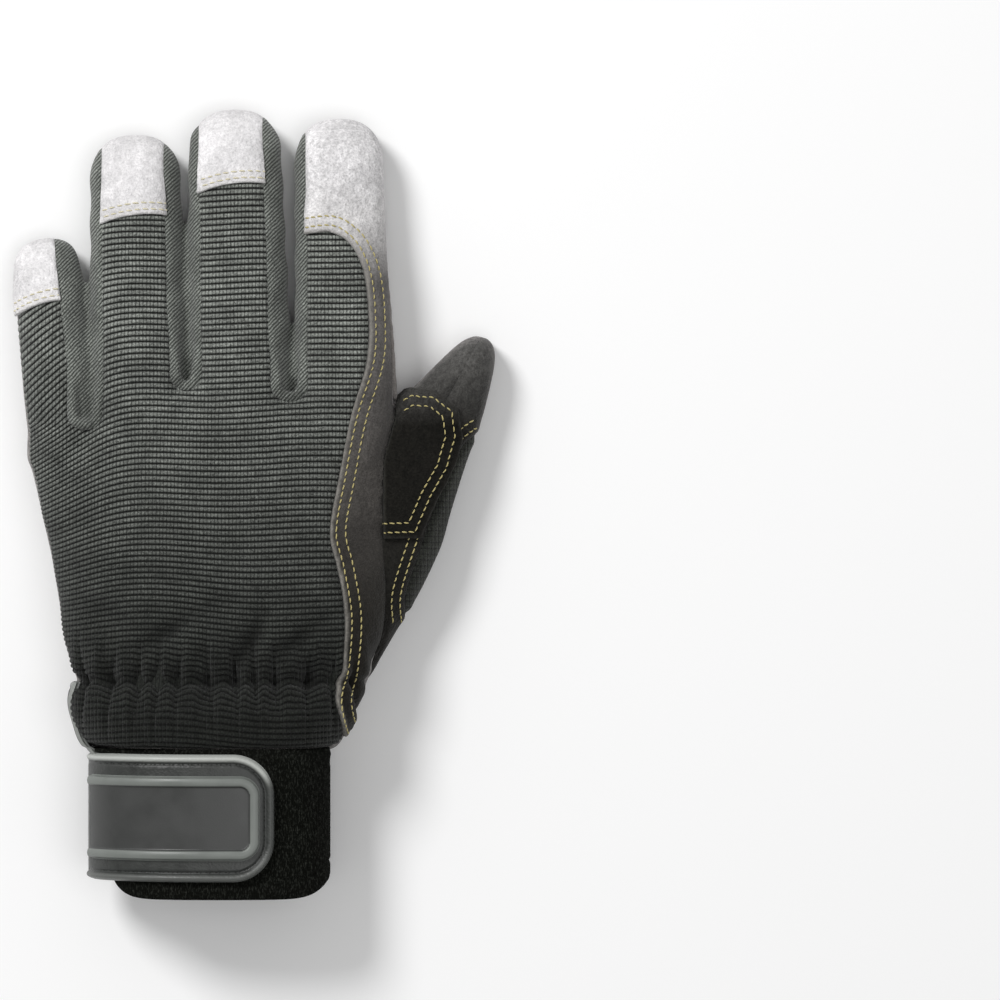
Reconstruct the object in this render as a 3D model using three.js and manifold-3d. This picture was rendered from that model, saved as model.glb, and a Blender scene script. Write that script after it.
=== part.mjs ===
// Rigger glove: one left-hand work glove lying palm down, filled out as if a hand were in it.
// Units are millimetres. +Z is up, towards the back of the hand, the fingers point along +Y and the
// thumb is on the +X side. The glove is a hollow wall of knit and suede, sewn from panels.
import * as THREE from "three";
import { mergeVertices } from "three/addons/utils/BufferGeometryUtils.js";
import Module from "manifold-3d";

const wasm = await Module();
wasm.setup();

// Driving dimensions of the hand
const HAND_WIDTH = 115; // across the knuckles
const HAND_LENGTH = 115.5; // cuff seam to the front of the knuckles
const HAND_THICK = 38; // palm to back, behind the knuckles
const KNUCKLE_DROP = 12; // how far the knuckle line falls back towards the little finger
const WALL = 1.6; // knit, suede and side gussets
const SEAM_GAP = 0.3; // clearance between neighbouring panels
const PATCH_THICK = 1.4; // reinforcement sewn on top of the suede
const PALM_ARCH = 4.5; // hollow of the palm over what the glove lies on
const GATHER_DEPTH = 1.5; // crest height of the folds under the elastic
const GATHER_COUNT = 10; // folds across the back of the wrist

// Driving dimensions of the cuff and its strap
const CUFF_LENGTH = 46;
const CUFF_WIDTH = 69;
const CUFF_HEIGHT = 42;
const CUFF_WALL = 2;
const CUFF_POWER = 2.4; // squareness of the cuff's round section
const HEM_BOW = 5.5; // how far the hem bows out at its middle
const STRAP_WIDTH = 40;
const STRAP_REACH = 52; // from the middle of the cuff's little-finger side to the strap's round end
const STRAP_THICK = 2.2;
const STRAP_STAND = 5.5; // how far the strap's fold stands out past the cuff
const PLATE_MARGIN = 6.7; // the strap's long edges to the moulded rim
const PLATE_END = 4.6; // the strap's round end to the moulded rim
const PLATE_THICK = 1.2;
const RIM_WIDTH = 3.2; // moulded rim round the sunk label field
const RIM_RISE = 0.7; // rim over the label field
const TAB_LENGTH = 22; // leather tab that joins the strap to the side seam
const TAB_HEIGHT = 14;
const TAB_THICK = 1.5;

// The fingers. baseX is a share of the hand's width, lean is in degrees towards the little finger, and
// reach is the length past the knuckle line. seamL and seamR are the edges of the front and back strips, as
// shares of the half width; null is a side with no gusset, where the strip goes round to the palm.
// capLength is the suede cap's length from the tip, on the finger's middle line.
const FINGERS = [
  { name: "little", baseX: -0.538, lean: 6.8, reach: 47.5, width: 22.6, rootTop: 26, tipTop: 18,
    seamL: null, seamR: 0.34, capLength: 20.5 },
  { name: "ring", baseX: -0.317, lean: 1.5, reach: 80.5, width: 30, rootTop: 28, tipTop: 20.5,
    seamL: -0.74, seamR: 0.68, capLength: 26 },
  { name: "middle", baseX: -0.037, lean: 1.7, reach: 88.5, width: 31, rootTop: 28.5, tipTop: 21,
    seamL: -0.78, seamR: 0.64, capLength: 24 },
  { name: "index", baseX: 0.247, lean: 1.4, reach: 85.6, width: 29.5, rootTop: 28, tipTop: 21,
    seamL: -0.76, seamR: null, capLength: 40 },
];
const FINGER_ROOT_BACK = 26; // how far a finger starts behind the knuckle line, inside the hand
const FINGER_SINK = 3; // how far a finger's underside starts above the palm, inside the hand
const FINGER_TIP_ROUND = 0.52; // length of the rounded end as a share of the finger's width

// The thumb: its base point as shares of the hand's width and length, its length and its lean.
const THUMB_BASE_X = 0.17;
const THUMB_BASE_Y = 0.303;
const THUMB_LENGTH = 110.2;
const THUMB_LEAN = 28.5;
const THUMB_WIDTH = 52; // across the ball of the thumb
const THUMB_HEIGHT = 27; // ball of the thumb over what the glove lies on

// The hand from the cuff seam forwards. at is a share of the hand's length; left and right are shares of its
// width from the middle line; top is a share of its thickness; arc says how much of the knuckle line's
// curve the section has; fold says how deep the wrist's gathers are there.
const HAND_SECTIONS = [
  { at: 0.014, left: -0.457, right: 0.233, top: 1.12, arc: 0, fold: 0.2 },
  { at: 0.07, left: -0.482, right: 0.256, top: 1.135, arc: 0, fold: 0.75 },
  { at: 0.14, left: -0.498, right: 0.286, top: 1.09, arc: 0, fold: 1 },
  { at: 0.202, left: -0.489, right: 0.316, top: 1.0, arc: 0, fold: 1 },
  { at: 0.25, left: -0.507, right: 0.333, top: 1.045, arc: 0, fold: 0.6 },
  { at: 0.305, left: -0.523, right: 0.35, top: 1.05, arc: 0, fold: 0.2 },
  { at: 0.41, left: -0.538, right: 0.366, top: 1.03, arc: 0, fold: 0 },
  { at: 0.52, left: -0.557, right: 0.377, top: 0.99, arc: 0, fold: 0 },
  { at: 0.66, left: -0.587, right: 0.383, top: 0.93, arc: 0.05, fold: 0 },
  { at: 0.8, left: -0.612, right: 0.385, top: 0.85, arc: 0.3, fold: 0 },
  { at: 0.92, left: -0.628, right: 0.386, top: 0.78, arc: 0.85, fold: 0 },
  { at: 0.985, left: -0.628, right: 0.384, top: 0.68, arc: 1, fold: 0 },
  { at: 1.04, left: -0.615, right: 0.37, top: 0.44, arc: 1, fold: 0 },
];

// The thumb from the heel of the hand to its tip. at is a share of its length, left and right are shares of
// its width each way from the axis, and top is a share of its height.
const THUMB_SECTIONS = [
  { at: -0.246, left: 0.06, right: 0.06, top: 0.4 },
  { at: -0.207, left: 0.26, right: 0.19, top: 0.7 },
  { at: -0.118, left: 0.43, right: 0.33, top: 0.9 },
  { at: 0.0, left: 0.55, right: 0.395, top: 0.97 },
  { at: 0.128, left: 0.62, right: 0.405, top: 1.0 },
  { at: 0.256, left: 0.59, right: 0.417, top: 1.0 },
  { at: 0.394, left: 0.5, right: 0.403, top: 0.95 },
  { at: 0.512, left: 0.405, right: 0.35, top: 0.88 },
  { at: 0.65, left: 0.305, right: 0.293, top: 0.8 },
  { at: 0.787, left: 0.21, right: 0.246, top: 0.73 },
  { at: 0.887, left: 0.147, right: 0.193, top: 0.68 },
  { at: 0.95, left: 0.1, right: 0.15, top: 0.61 },
  { at: 0.985, left: 0.052, right: 0.108, top: 0.5 },
  { at: 1.0, left: 0.0, right: 0.06, top: 0.38 },
];

// Edge of the suede side panel on the knit, from its corner on the forefinger down to the wrist: x as a
// share of the hand's width, y as a share of its length from the cuff seam.
const SIDE_PANEL_EDGE = [
  [0.205, 1.425], [0.25, 1.405], [0.283, 1.365], [0.307, 1.3], [0.318, 1.2], [0.315, 1.07],
  [0.27, 0.92], [0.235, 0.74], [0.213, 0.6], [0.235, 0.5], [0.256, 0.37], [0.248, 0.24],
  [0.228, 0.14], [0.25, 0.02], [0.27, -0.1],
];

// Outline of the reinforcement on the palm, in the same shares, seen from above: two rows of steps between
// the finger roots, the long edge beside the thumb, and the heel.
const PALM_PATCH = [
  [-0.72, 0.925], [-0.505, 0.925], [-0.465, 0.773], [-0.43, 0.785], [-0.366, 0.826], [-0.353, 0.974],
  [-0.333, 1.0], [-0.25, 0.995], [-0.234, 0.87], [-0.148, 0.905], [-0.13, 1.015], [-0.02, 1.015],
  [0.02, 0.93], [0.1, 0.806], [0.125, 0.754], [0.113, 0.715], [0.055, 0.63], [-0.055, 0.454],
  [-0.1, 0.35], [-0.137, 0.226], [-0.18, 0.212], [-0.31, 0.19], [-0.72, 0.18],
];

// Outline of the reinforcement on the forefinger's palm side.
const INDEX_PATCH = [
  [0.15, 1.27], [0.17, 1.315], [0.21, 1.33], [0.46, 1.33], [0.46, 0.72], [0.205, 0.72], [0.175, 0.9],
];

// Outline of the reinforcement in the fork between thumb and forefinger.
const FORK_PATCH = [
  [0.3, 0.95], [0.385, 0.965], [0.43, 0.99], [0.5, 0.985], [0.56, 0.94], [0.57, 0.86], [0.545, 0.77],
  [0.5, 0.69], [0.455, 0.585], [0.3, 0.58],
];

// Edge of the knit insert on the outer side of the thumb: at is a share of the thumb's length, in is how far
// the edge lies inside the outline, as a share of the thumb's width.
const THUMB_INSERT = [
  { at: 0.17, in: -0.03 }, { at: 0.24, in: 0.06 }, { at: 0.36, in: 0.105 }, { at: 0.5, in: 0.1 },
  { at: 0.62, in: 0.08 }, { at: 0.7, in: 0.045 }, { at: 0.76, in: -0.03 },
];

// Clearances and places that follow from the dimensions above
const PATCH_LIFT = SEAM_GAP + PATCH_THICK;
const KNUCKLE_Y = CUFF_LENGTH + HAND_LENGTH;
const CUFF_X = -0.089 * HAND_WIDTH;
const REACH_LONGEST = Math.max(...FINGERS.map((f) => f.reach));
const FAR = 4 * (HAND_WIDTH + HAND_LENGTH); // past everything, for cutting solids

const mix = (a, b, t) => a + (b - a) * t;
const clamp01 = (t) => Math.min(1, Math.max(0, t));
const smooth = (t) => clamp01(t) ** 2 * (3 - 2 * clamp01(t));
const radians = (d) => (d * Math.PI) / 180;
const onHand = ([x, y]) => [x * HAND_WIDTH, CUFF_LENGTH + y * HAND_LENGTH];

// The lowest height that the hand's own wall may have at a place. It leaves room for the patches, lets the
// fingertips and the hem down to the ground, and rises over the hollow of the palm.
function groundLevel(x, y) {
  const past = (y - KNUCKLE_Y) / REACH_LONGEST;
  const lift = smooth((y - CUFF_LENGTH) / (0.12 * HAND_LENGTH)) * (1 - smooth((past - 0.44) / 0.3));
  const dx = (x + 0.05 * HAND_WIDTH) / (0.42 * HAND_WIDTH);
  const dy = (y - CUFF_LENGTH - 0.66 * HAND_LENGTH) / (0.44 * HAND_LENGTH);
  const hollow = Math.max(0, 1 - dx * dx - dy * dy);
  return PATCH_LIFT * lift + PALM_ARCH * hollow * hollow;
}

// A closed solid through rings of equally many points, with each end closed by a fan.
function loft(rings) {
  const count = rings[0].length;
  const position = rings.flat(2);
  const index = [];
  for (let r = 0; r + 1 < rings.length; r++) {
    for (let i = 0; i < count; i++) {
      const j = (i + 1) % count;
      const [a, b, c, d] = [r * count + i, r * count + j, (r + 1) * count + j, (r + 1) * count + i];
      index.push(a, c, b, a, d, c);
    }
  }
  for (const [ring, first] of [[rings[0], true], [rings.at(-1), false]]) {
    const start = first ? 0 : (rings.length - 1) * count;
    const hub = position.length / 3;
    position.push(...[0, 1, 2].map((k) => ring.reduce((sum, p) => sum + p[k], 0) / count));
    for (let i = 0; i < count; i++) {
      const j = (i + 1) % count;
      index.push(...(first ? [hub, start + i, start + j] : [hub, start + j, start + i]));
    }
  }
  const geometry = new THREE.BufferGeometry();
  geometry.setAttribute("position", new THREE.Float32BufferAttribute(position, 3));
  geometry.setIndex(index);
  return solidOf(geometry);
}

function solidOf(geometry) {
  for (const name of Object.keys(geometry.attributes)) {
    if (name !== "position") geometry.deleteAttribute(name);
  }
  const merged = mergeVertices(geometry, 1e-4);
  return new wasm.Manifold(
    new wasm.Mesh({
      numProp: 3,
      vertProperties: merged.attributes.position.array,
      triVerts: new Uint32Array(merged.index.array),
    }),
  );
}

// A point of a rounded square, across and up from -1 to 1. A power of 2 is a circle.
function roundSquarePoint(power, turn) {
  const soften = (v) => Math.sign(v) * Math.abs(v) ** (2 / power);
  return [soften(Math.cos(turn)), soften(Math.sin(turn))];
}

// A whole rounded square at equal turns. The upper half can have more points than the lower one.
function roundSquare(power, upperCount, lowerCount) {
  const turns = [];
  for (let i = 0; i < upperCount; i++) turns.push((Math.PI * i) / upperCount);
  for (let i = 0; i < lowerCount; i++) turns.push(Math.PI + (Math.PI * i) / lowerCount);
  return turns.map((turn) => roundSquarePoint(power, turn));
}

// The hand without fingers and thumb, grown outwards by some millimetres.
function handSolid(grow, upperCount, lowerCount) {
  const shape = roundSquare(CUFF_POWER, upperCount, lowerCount);
  const seam = {
    at: 0, left: (CUFF_X - CUFF_WIDTH / 2) / HAND_WIDTH, right: (CUFF_X + CUFF_WIDTH / 2) / HAND_WIDTH,
    top: CUFF_HEIGHT / HAND_THICK, arc: 0, fold: 0,
  };
  const rings = [seam, ...HAND_SECTIONS].map((s, number, all) => {
    const last = number === all.length - 1;
    const left = s.left * HAND_WIDTH - grow;
    const right = s.right * HAND_WIDTH + grow;
    const top = s.top * HAND_THICK + grow;
    const y = CUFF_LENGTH + s.at * HAND_LENGTH + (last ? grow : 0);
    const bottom = number > all.length - 3 ? mix(-1, top, number > all.length - 2 ? 0.35 : 0.16) : -1 - grow;
    return shape.map(([across, up]) => {
      const x = (left + right) / 2 + (across * (right - left)) / 2;
      const crease = Math.cos(2 * Math.PI * GATHER_COUNT * clamp01((x - left) / (right - left)));
      const gather = s.fold * GATHER_DEPTH * 0.5 * crease * clamp01(2 * up) * (grow < 0 ? 0 : 1);
      const z = (top + bottom) / 2 + (up * (top - bottom)) / 2 + gather;
      return [x, y - s.arc * knuckleFall(x), Math.max(z, groundLevel(x, y) - grow)];
    });
  });
  return loft(rings);
}

// How far the knuckle line has fallen back at a place across the hand.
function knuckleFall(x) {
  const bend = (x / HAND_WIDTH + 0.104) / 0.34;
  return KNUCKLE_DROP * Math.min(1.2, bend * bend);
}

// Where a finger's middle line is, some millimetres past the knuckle line, and the way across it.
function fingerFrame(finger, past) {
  const lean = radians(finger.lean);
  return {
    centre: [finger.baseX * HAND_WIDTH - Math.tan(lean) * past, KNUCKLE_Y + past],
    across: [Math.cos(lean), Math.sin(lean)],
  };
}

// A finger's half width some millimetres past the knuckle line, with a round end.
function fingerHalfWidth(finger, past, grow) {
  const taper = mix(1.04, 0.94, clamp01(past / finger.reach));
  const round = FINGER_TIP_ROUND * finger.width + grow;
  const short = clamp01(1 - (finger.reach + grow - past) / round);
  const behind = smooth((past + FINGER_ROOT_BACK) / (0.6 * FINGER_ROOT_BACK));
  return ((finger.width * taper) / 2 + grow) * Math.max(0.02, (1 - short ** 2.6) ** (1 / 2.3)) * mix(0.8, 1, behind);
}

function fingerSolid(finger, grow, count) {
  const shape = roundSquare(2.3, count / 2, count / 2);
  const straight = finger.reach - FINGER_TIP_ROUND * finger.width;
  const round = FINGER_TIP_ROUND * finger.width + grow;
  const stations = [-FINGER_ROOT_BACK, -0.5 * FINGER_ROOT_BACK, 0, 0.46 * finger.reach, straight];
  for (const share of grow < 0 ? [0.5, 0.85, 1] : [0.4, 0.7, 0.92, 1]) stations.push(straight + share * round);
  const rings = stations.map((past) => {
    const { centre, across } = fingerFrame(finger, past);
    const half = fingerHalfWidth(finger, past, grow);
    const short = clamp01((past - straight) / round);
    const level = mix(finger.rootTop, finger.tipTop, smooth(past / finger.reach));
    const sunk = FINGER_SINK * smooth((-past - knuckleFall(centre[0])) / (0.3 * FINGER_ROOT_BACK));
    const ground = groundLevel(centre[0], centre[1]) - grow + sunk;
    const low = groundLevel(centre[0], centre[1]) - 1;
    const middle = mix((level + low) / 2, (level + low) / 2 - 1.5, short);
    const high = ((level - low) / 2 + grow) * Math.max(0.05, (1 - short ** 2.4) ** (1 / 2.4));
    return shape.map(([a, up]) => {
      const x = centre[0] + across[0] * a * half;
      const y = centre[1] + across[1] * a * half;
      return [x, y, Math.max(middle + up * high, ground)];
    });
  });
  return loft(rings);
}

// A point of the thumb's plan: at is a share of its length, side is millimetres to the outer side.
function onThumb(at, side) {
  const lean = radians(THUMB_LEAN);
  const along = at * THUMB_LENGTH;
  const [x, y] = onHand([THUMB_BASE_X, THUMB_BASE_Y]);
  return [
    x + along * Math.sin(lean) + side * Math.cos(lean),
    y + along * Math.cos(lean) - side * Math.sin(lean),
  ];
}

function thumbSolid(grow, count) {
  const shape = roundSquare(2.2, count / 2, count / 2);
  const last = THUMB_SECTIONS.length - 1;
  const rings = THUMB_SECTIONS.map((s, number) => {
    const end = number === 0 ? -grow : number === last ? grow : 0;
    const left = Math.max(0.4, s.left * THUMB_WIDTH + grow);
    const right = Math.max(0.4, s.right * THUMB_WIDTH + grow);
    const middle = (s.top * THUMB_HEIGHT) / 2 - 0.5;
    const high = Math.max(0.4, (s.top * THUMB_HEIGHT) / 2 + 0.5 + grow);
    return shape.map(([a, up]) => {
      const [x, y] = onThumb(s.at + end / THUMB_LENGTH, ((right - left) + a * (right + left)) / 2);
      return [x, y, Math.max(middle + up * high, -grow)];
    });
  });
  return loft(rings);
}

// The hand with its fingers, without the thumb.
function handWithFingers(grow, upperCount, lowerCount, fingerCount) {
  return FINGERS.reduce(
    (solid, finger) => solid.add(fingerSolid(finger, grow, fingerCount)),
    handSolid(grow, upperCount, lowerCount),
  );
}

// An upright prism over a plan outline of [x, y] points.
function prism(outline, low = -FAR, high = FAR) {
  const shape = new THREE.Shape(outline.map(([x, y]) => new THREE.Vector2(x, y)));
  const geometry = new THREE.ExtrudeGeometry(shape, { depth: high - low, bevelEnabled: false });
  return solidOf(geometry.translate(0, 0, low));
}

// A bar along X with a side outline of [y, z] points.
function bar(outline, from = -FAR, to = FAR) {
  const shape = new THREE.Shape(outline.map(([y, z]) => new THREE.Vector2(y, z)));
  const geometry = new THREE.ExtrudeGeometry(shape, { depth: to - from, bevelEnabled: false });
  geometry.translate(0, 0, from);
  geometry.applyMatrix4(new THREE.Matrix4().set(0, 0, 1, 0, 1, 0, 0, 0, 0, 1, 0, 0, 0, 0, 0, 1));
  return solidOf(geometry);
}

// A bar along Y with a front outline of [x, z] points.
function barAlongY(outline, from, to) {
  const shape = new THREE.Shape(outline.map(([x, z]) => new THREE.Vector2(x, -z)));
  const geometry = new THREE.ExtrudeGeometry(shape, { depth: to - from, bevelEnabled: false });
  geometry.rotateX(-Math.PI / 2);
  return solidOf(geometry.translate(0, from, 0));
}

// The biggest piece of a cut, without the crumbs that it leaves.
function mainPiece(solid) {
  return solid.decompose().reduce((best, piece) => (piece.volume() > best.volume() ? piece : best));
}

// Height of the side seams, where the back of the glove meets the palm.
const SIDE_SEAM = [
  [-FAR, 0.5 * CUFF_HEIGHT],
  [CUFF_LENGTH, 0.5 * CUFF_HEIGHT],
  [CUFF_LENGTH + 0.45 * HAND_LENGTH, 0.5 * HAND_THICK],
  [KNUCKLE_Y - 0.1 * HAND_LENGTH, 0.42 * HAND_THICK],
  [KNUCKLE_Y + 0.45 * REACH_LONGEST, 0.32 * HAND_THICK],
  [FAR, 0.24 * HAND_THICK],
];
const above = (rise) => bar([...SIDE_SEAM.map(([y, z]) => [y, z + rise]), [FAR, FAR], [-FAR, FAR]]);
const below = (drop) => bar([[-FAR, -FAR], [FAR, -FAR], ...SIDE_SEAM.map(([y, z]) => [y, z - drop]).reverse()]);

// Plan outline of one finger's strip between its seams, grown by some millimetres on both sides.
function stripEdge(finger, side, past, grow) {
  const { centre, across } = fingerFrame(finger, past);
  const seam = side < 0 ? finger.seamL : finger.seamR;
  const half = (finger.width / 2) * mix(1.04, 0.94, clamp01(past / finger.reach));
  const offset = seam * half + side * grow;
  return [centre[0] + across[0] * offset, centre[1] + across[1] * offset];
}

// Plan outline of the gusset between two neighbouring fingers: down the near side of one, round the fork,
// and up the other. grow widens it.
function gussetOutline(left, right, grow) {
  const tip = (finger) => finger.reach + finger.width;
  const near = [1, 0.6, 0.3, 0.08].map((s) => stripEdge(left, 1, mix(-2, tip(left), s), -grow));
  const far = [0.08, 0.3, 0.6, 1].map((s) => stripEdge(right, -1, mix(-2, tip(right), s), -grow));
  const forkX = (near[3][0] + far[0][0]) / 2;
  const half = 5 + grow;
  const forkY = KNUCKLE_Y - knuckleFall(forkX) + 4.5;
  const fork = [1, 0.75, 0.5, 0.25, 0].map((s) => {
    const turn = Math.PI * (1 + (1 - s));
    return [forkX + half * Math.cos(turn), forkY + half * 0.9 * Math.sin(turn)];
  });
  return [...near, ...fork, ...far];
}

// Plan outline of a suede fingertip cap, whose edge bows towards the tip.
function capOutline(finger, grow) {
  const edge = finger.reach - finger.capLength - grow;
  const side = 0.53 * finger.width;
  const points = [-1, -0.5, 0, 0.5, 1].map((s) => {
    const { centre, across } = fingerFrame(finger, edge - 0.1 * finger.width * (s - 0.25) ** 2);
    return [centre[0] + across[0] * s * side, centre[1] + across[1] * s * side];
  });
  const top = fingerFrame(finger, finger.reach + finger.width).centre;
  return [...points, [top[0] + side, top[1]], [top[0] - side, top[1]]];
}

// The strap's middle line from its fold beside the cuff, over the back of the wrist, to its round end.
function strapLine(offset) {
  const a = CUFF_WIDTH / 2 + offset;
  const b = CUFF_HEIGHT / 2 + offset;
  const points = [];
  for (let step = 0; step <= 16; step++) {
    const [across, up] = roundSquarePoint(CUFF_POWER, radians(mix(194, 62, step / 16)));
    const stand = STRAP_STAND * (1 - smooth(step / 9));
    points.push([CUFF_X + (a + stand) * across, CUFF_HEIGHT / 2 + b * up]);
  }
  return points;
}

const strapBand = (from, to) => [...strapLine(from), ...strapLine(to).reverse()];

// Plan outline of the strap or of something that follows its edge at a distance.
function strapOutline(inset, endInset) {
  const half = STRAP_WIDTH / 2 - inset;
  const middle = CUFF_LENGTH - SEAM_GAP - STRAP_WIDTH / 2;
  const end = CUFF_X - CUFF_WIDTH / 2 + STRAP_REACH - endInset;
  const corner = Math.max(2, 13 - inset);
  const outline = [[-FAR, middle - half], [end - corner, middle - half]];
  for (const [side, first] of [[-1, -90], [1, 0]]) {
    for (let step = 0; step <= 5; step++) {
      const turn = radians(first + 18 * step);
      outline.push([end - corner + corner * Math.cos(turn), middle + side * (half - corner) + corner * Math.sin(turn)]);
    }
  }
  return [...outline, [end - corner, middle + half], [-FAR, middle + half]];
}

// Walls
const UPPER = 40;
const LOWER = 12;
const ROUND = 14;
const hand = handWithFingers(0, UPPER, LOWER, ROUND);
const handHollow = handWithFingers(-WALL, 14, 10, 10);
const thumb = thumbSolid(0, 16);
const thumbHollow = thumbSolid(-WALL, 10);
const sleeve = barAlongY(
  roundSquare(CUFF_POWER, 12, 12).map(([a, up]) => [
    CUFF_X + a * (CUFF_WIDTH / 2 - CUFF_WALL),
    CUFF_HEIGHT / 2 + up * (CUFF_HEIGHT / 2 - CUFF_WALL),
  ]),
  -FAR,
  CUFF_LENGTH + 0.06 * HAND_LENGTH,
);
const hollow = handHollow.add(thumbHollow).add(sleeve);
const behindThumb = prism([[-FAR, -FAR], [FAR, -FAR], [FAR, CUFF_LENGTH + 4], [-FAR, CUFF_LENGTH + 4]]);
const openThumb = thumbSolid(-0.5 * WALL, 10).subtract(behindThumb);
const skin = hand.subtract(handHollow).subtract(openThumb).subtract(sleeve);
const upper = above(SEAM_GAP / 2);
const lower = below(SEAM_GAP / 2);

// Gussets
const pairs = [0, 1, 2].map((i) => [FINGERS[i], FINGERS[i + 1]]);
const gussetCuts = pairs.map(([l, r]) => prism(gussetOutline(l, r, SEAM_GAP)));
const panels = gussetCuts.reduce((solid, cut) => solid.subtract(cut), skin);

// Back
const sideEdge = SIDE_PANEL_EDGE.map(onHand);
const index = FINGERS[3];
const indexInner = fingerFrame(index, index.reach).centre[0] - 0.53 * index.width;
const sideRegion = (grow) => [
  ...sideEdge.map(([x, y]) => [x - grow, y - (y > KNUCKLE_Y + 0.3 * REACH_LONGEST ? grow : 0)]).reverse(),
  [indexInner, sideEdge[0][1] - 0.012 * HAND_LENGTH - grow],
  [indexInner, FAR],
  [FAR, FAR],
  [FAR, -FAR],
  [sideEdge.at(-1)[0] - grow, -FAR],
];
const backHalf = panels.intersect(upper);
const caps = FINGERS.slice(0, 3);
const back = caps.reduce(
  (solid, finger) => solid.subtract(prism(capOutline(finger, SEAM_GAP))),
  backHalf.subtract(prism(sideRegion(SEAM_GAP))),
);
const palm = panels.intersect(lower);

// Thumb
const handKeepOut = handWithFingers(SEAM_GAP, 24, LOWER, ROUND);
const thumbWall = thumb.subtract(hollow).subtract(handKeepOut);
const outerSide = (shift) => [onThumb(-2, shift), onThumb(-2, FAR), onThumb(3, FAR), onThumb(3, shift)];
const innerSide = (shift) => [onThumb(-2, -FAR), onThumb(-2, shift), onThumb(3, shift), onThumb(3, -FAR)];
function thumbHalfWidth(at) {
  const next = THUMB_SECTIONS.findIndex((s) => s.at >= at);
  const [a, b] = [THUMB_SECTIONS[next - 1], THUMB_SECTIONS[next]];
  return mix(a.right, b.right, (at - a.at) / (b.at - a.at)) * THUMB_WIDTH;
}
const insertRegion = (grow) => [
  ...THUMB_INSERT.map((p) => onThumb(p.at, thumbHalfWidth(p.at) - p.in * THUMB_WIDTH - grow)),
  onThumb(THUMB_INSERT.at(-1).at, THUMB_WIDTH),
  onThumb(THUMB_INSERT[0].at, THUMB_WIDTH),
].reverse();

// Reinforcements
const overHand = (rise) => handWithFingers(rise, 24, LOWER, ROUND);
const patchLayer = overHand(PATCH_LIFT).subtract(overHand(SEAM_GAP)).subtract(hand);
const thumbKeepOut = thumbSolid(SEAM_GAP, 16);
const gussetKeepOut = pairs.map(([l, r]) => prism(gussetOutline(l, r, 0)));
const palmPatch = gussetKeepOut
  .reduce((solid, cut) => solid.subtract(cut), patchLayer.intersect(prism(PALM_PATCH.map(onHand))))
  .intersect(below(TAB_HEIGHT / 2 + 3 * SEAM_GAP))
  .subtract(thumbKeepOut);
const indexPatch = patchLayer
  .intersect(prism(INDEX_PATCH.map(onHand)))
  .intersect(below(2))
  .subtract(gussetKeepOut[2])
  .subtract(thumbKeepOut);
const forkPatch = thumbSolid(PATCH_LIFT, 16)
  .subtract(thumbKeepOut)
  .intersect(prism(FORK_PATCH.map(onHand), 0.35 * THUMB_HEIGHT))
  .subtract(overHand(PATCH_LIFT + SEAM_GAP));

// Cuff, strap and tab
function cuffSolid() {
  const shape = roundSquare(CUFF_POWER, 20, 14);
  const ring = (y, inset, bow) => shape.map(([a, up]) => {
    const x = CUFF_X + a * (CUFF_WIDTH / 2 - inset);
    const z = CUFF_HEIGHT / 2 + up * (CUFF_HEIGHT / 2 - inset + (up < 0 ? 1 : 0));
    return [x, y - bow * HEM_BOW * (1 - Math.abs(a) ** 9), Math.max(z, inset)];
  });
  const end = CUFF_LENGTH - SEAM_GAP;
  const outer = loft([ring(HEM_BOW, 0, 1), ring(0.3 * CUFF_LENGTH, 0, 0.3), ring(end, 0, 0)]);
  const inner = loft([ring(-CUFF_LENGTH, CUFF_WALL, 0), ring(2 * CUFF_LENGTH, CUFF_WALL, 0)]);
  return outer.subtract(inner);
}
const strapClear = SEAM_GAP + 0.2;
const strapTop = strapClear + STRAP_THICK;
const strapOver = (from, to, inset, endInset) =>
  barAlongY(strapBand(from, to), 0, CUFF_LENGTH).intersect(prism(strapOutline(inset, endInset)));
const plateReach = (solid) => solid.intersect(prism([
  [-FAR, -FAR], [FAR, -FAR], [FAR, FAR], [-FAR, FAR],
], 0.62 * CUFF_HEIGHT));
const plateBase = plateReach(
  strapOver(strapTop + SEAM_GAP, strapTop + SEAM_GAP + PLATE_THICK, PLATE_MARGIN, PLATE_END),
);
const plateSink = plateReach(strapOver(
  strapTop + SEAM_GAP + PLATE_THICK - RIM_RISE, strapTop + 3 * PLATE_THICK,
  PLATE_MARGIN + RIM_WIDTH, PLATE_END + RIM_WIDTH,
));
const tab = handSolid(SEAM_GAP + TAB_THICK, 24, LOWER)
  .subtract(handSolid(SEAM_GAP, UPPER, LOWER))
  .intersect(bar(
    [
      [CUFF_LENGTH + SEAM_GAP, 0.5 * (CUFF_HEIGHT - TAB_HEIGHT)],
      [CUFF_LENGTH + TAB_LENGTH, 0.5 * (CUFF_HEIGHT - 0.6 * TAB_HEIGHT)],
      [CUFF_LENGTH + TAB_LENGTH, 0.5 * (CUFF_HEIGHT + 0.6 * TAB_HEIGHT)],
      [CUFF_LENGTH + SEAM_GAP, 0.5 * (CUFF_HEIGHT + TAB_HEIGHT)],
    ],
    -FAR,
    CUFF_X,
  ));

// Materials
const finish = (color, roughness) => new THREE.MeshStandardMaterial({ color, roughness, metalness: 0 });
const KNIT = finish("#3c3e3b", 0.85);
const SUEDE = finish("#84807e", 0.95);
const PALE_SUEDE = finish("#cfcdce", 0.95);
const TWILL = finish("#5a5c58", 0.9);
const ELASTIC = finish("#1d1f1c", 0.9);
const LEATHER = finish("#2b2d2b", 0.5);
const MOULDING = finish("#4b4c4b", 0.45);

// Assembly
const glove = new THREE.Group();

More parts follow.
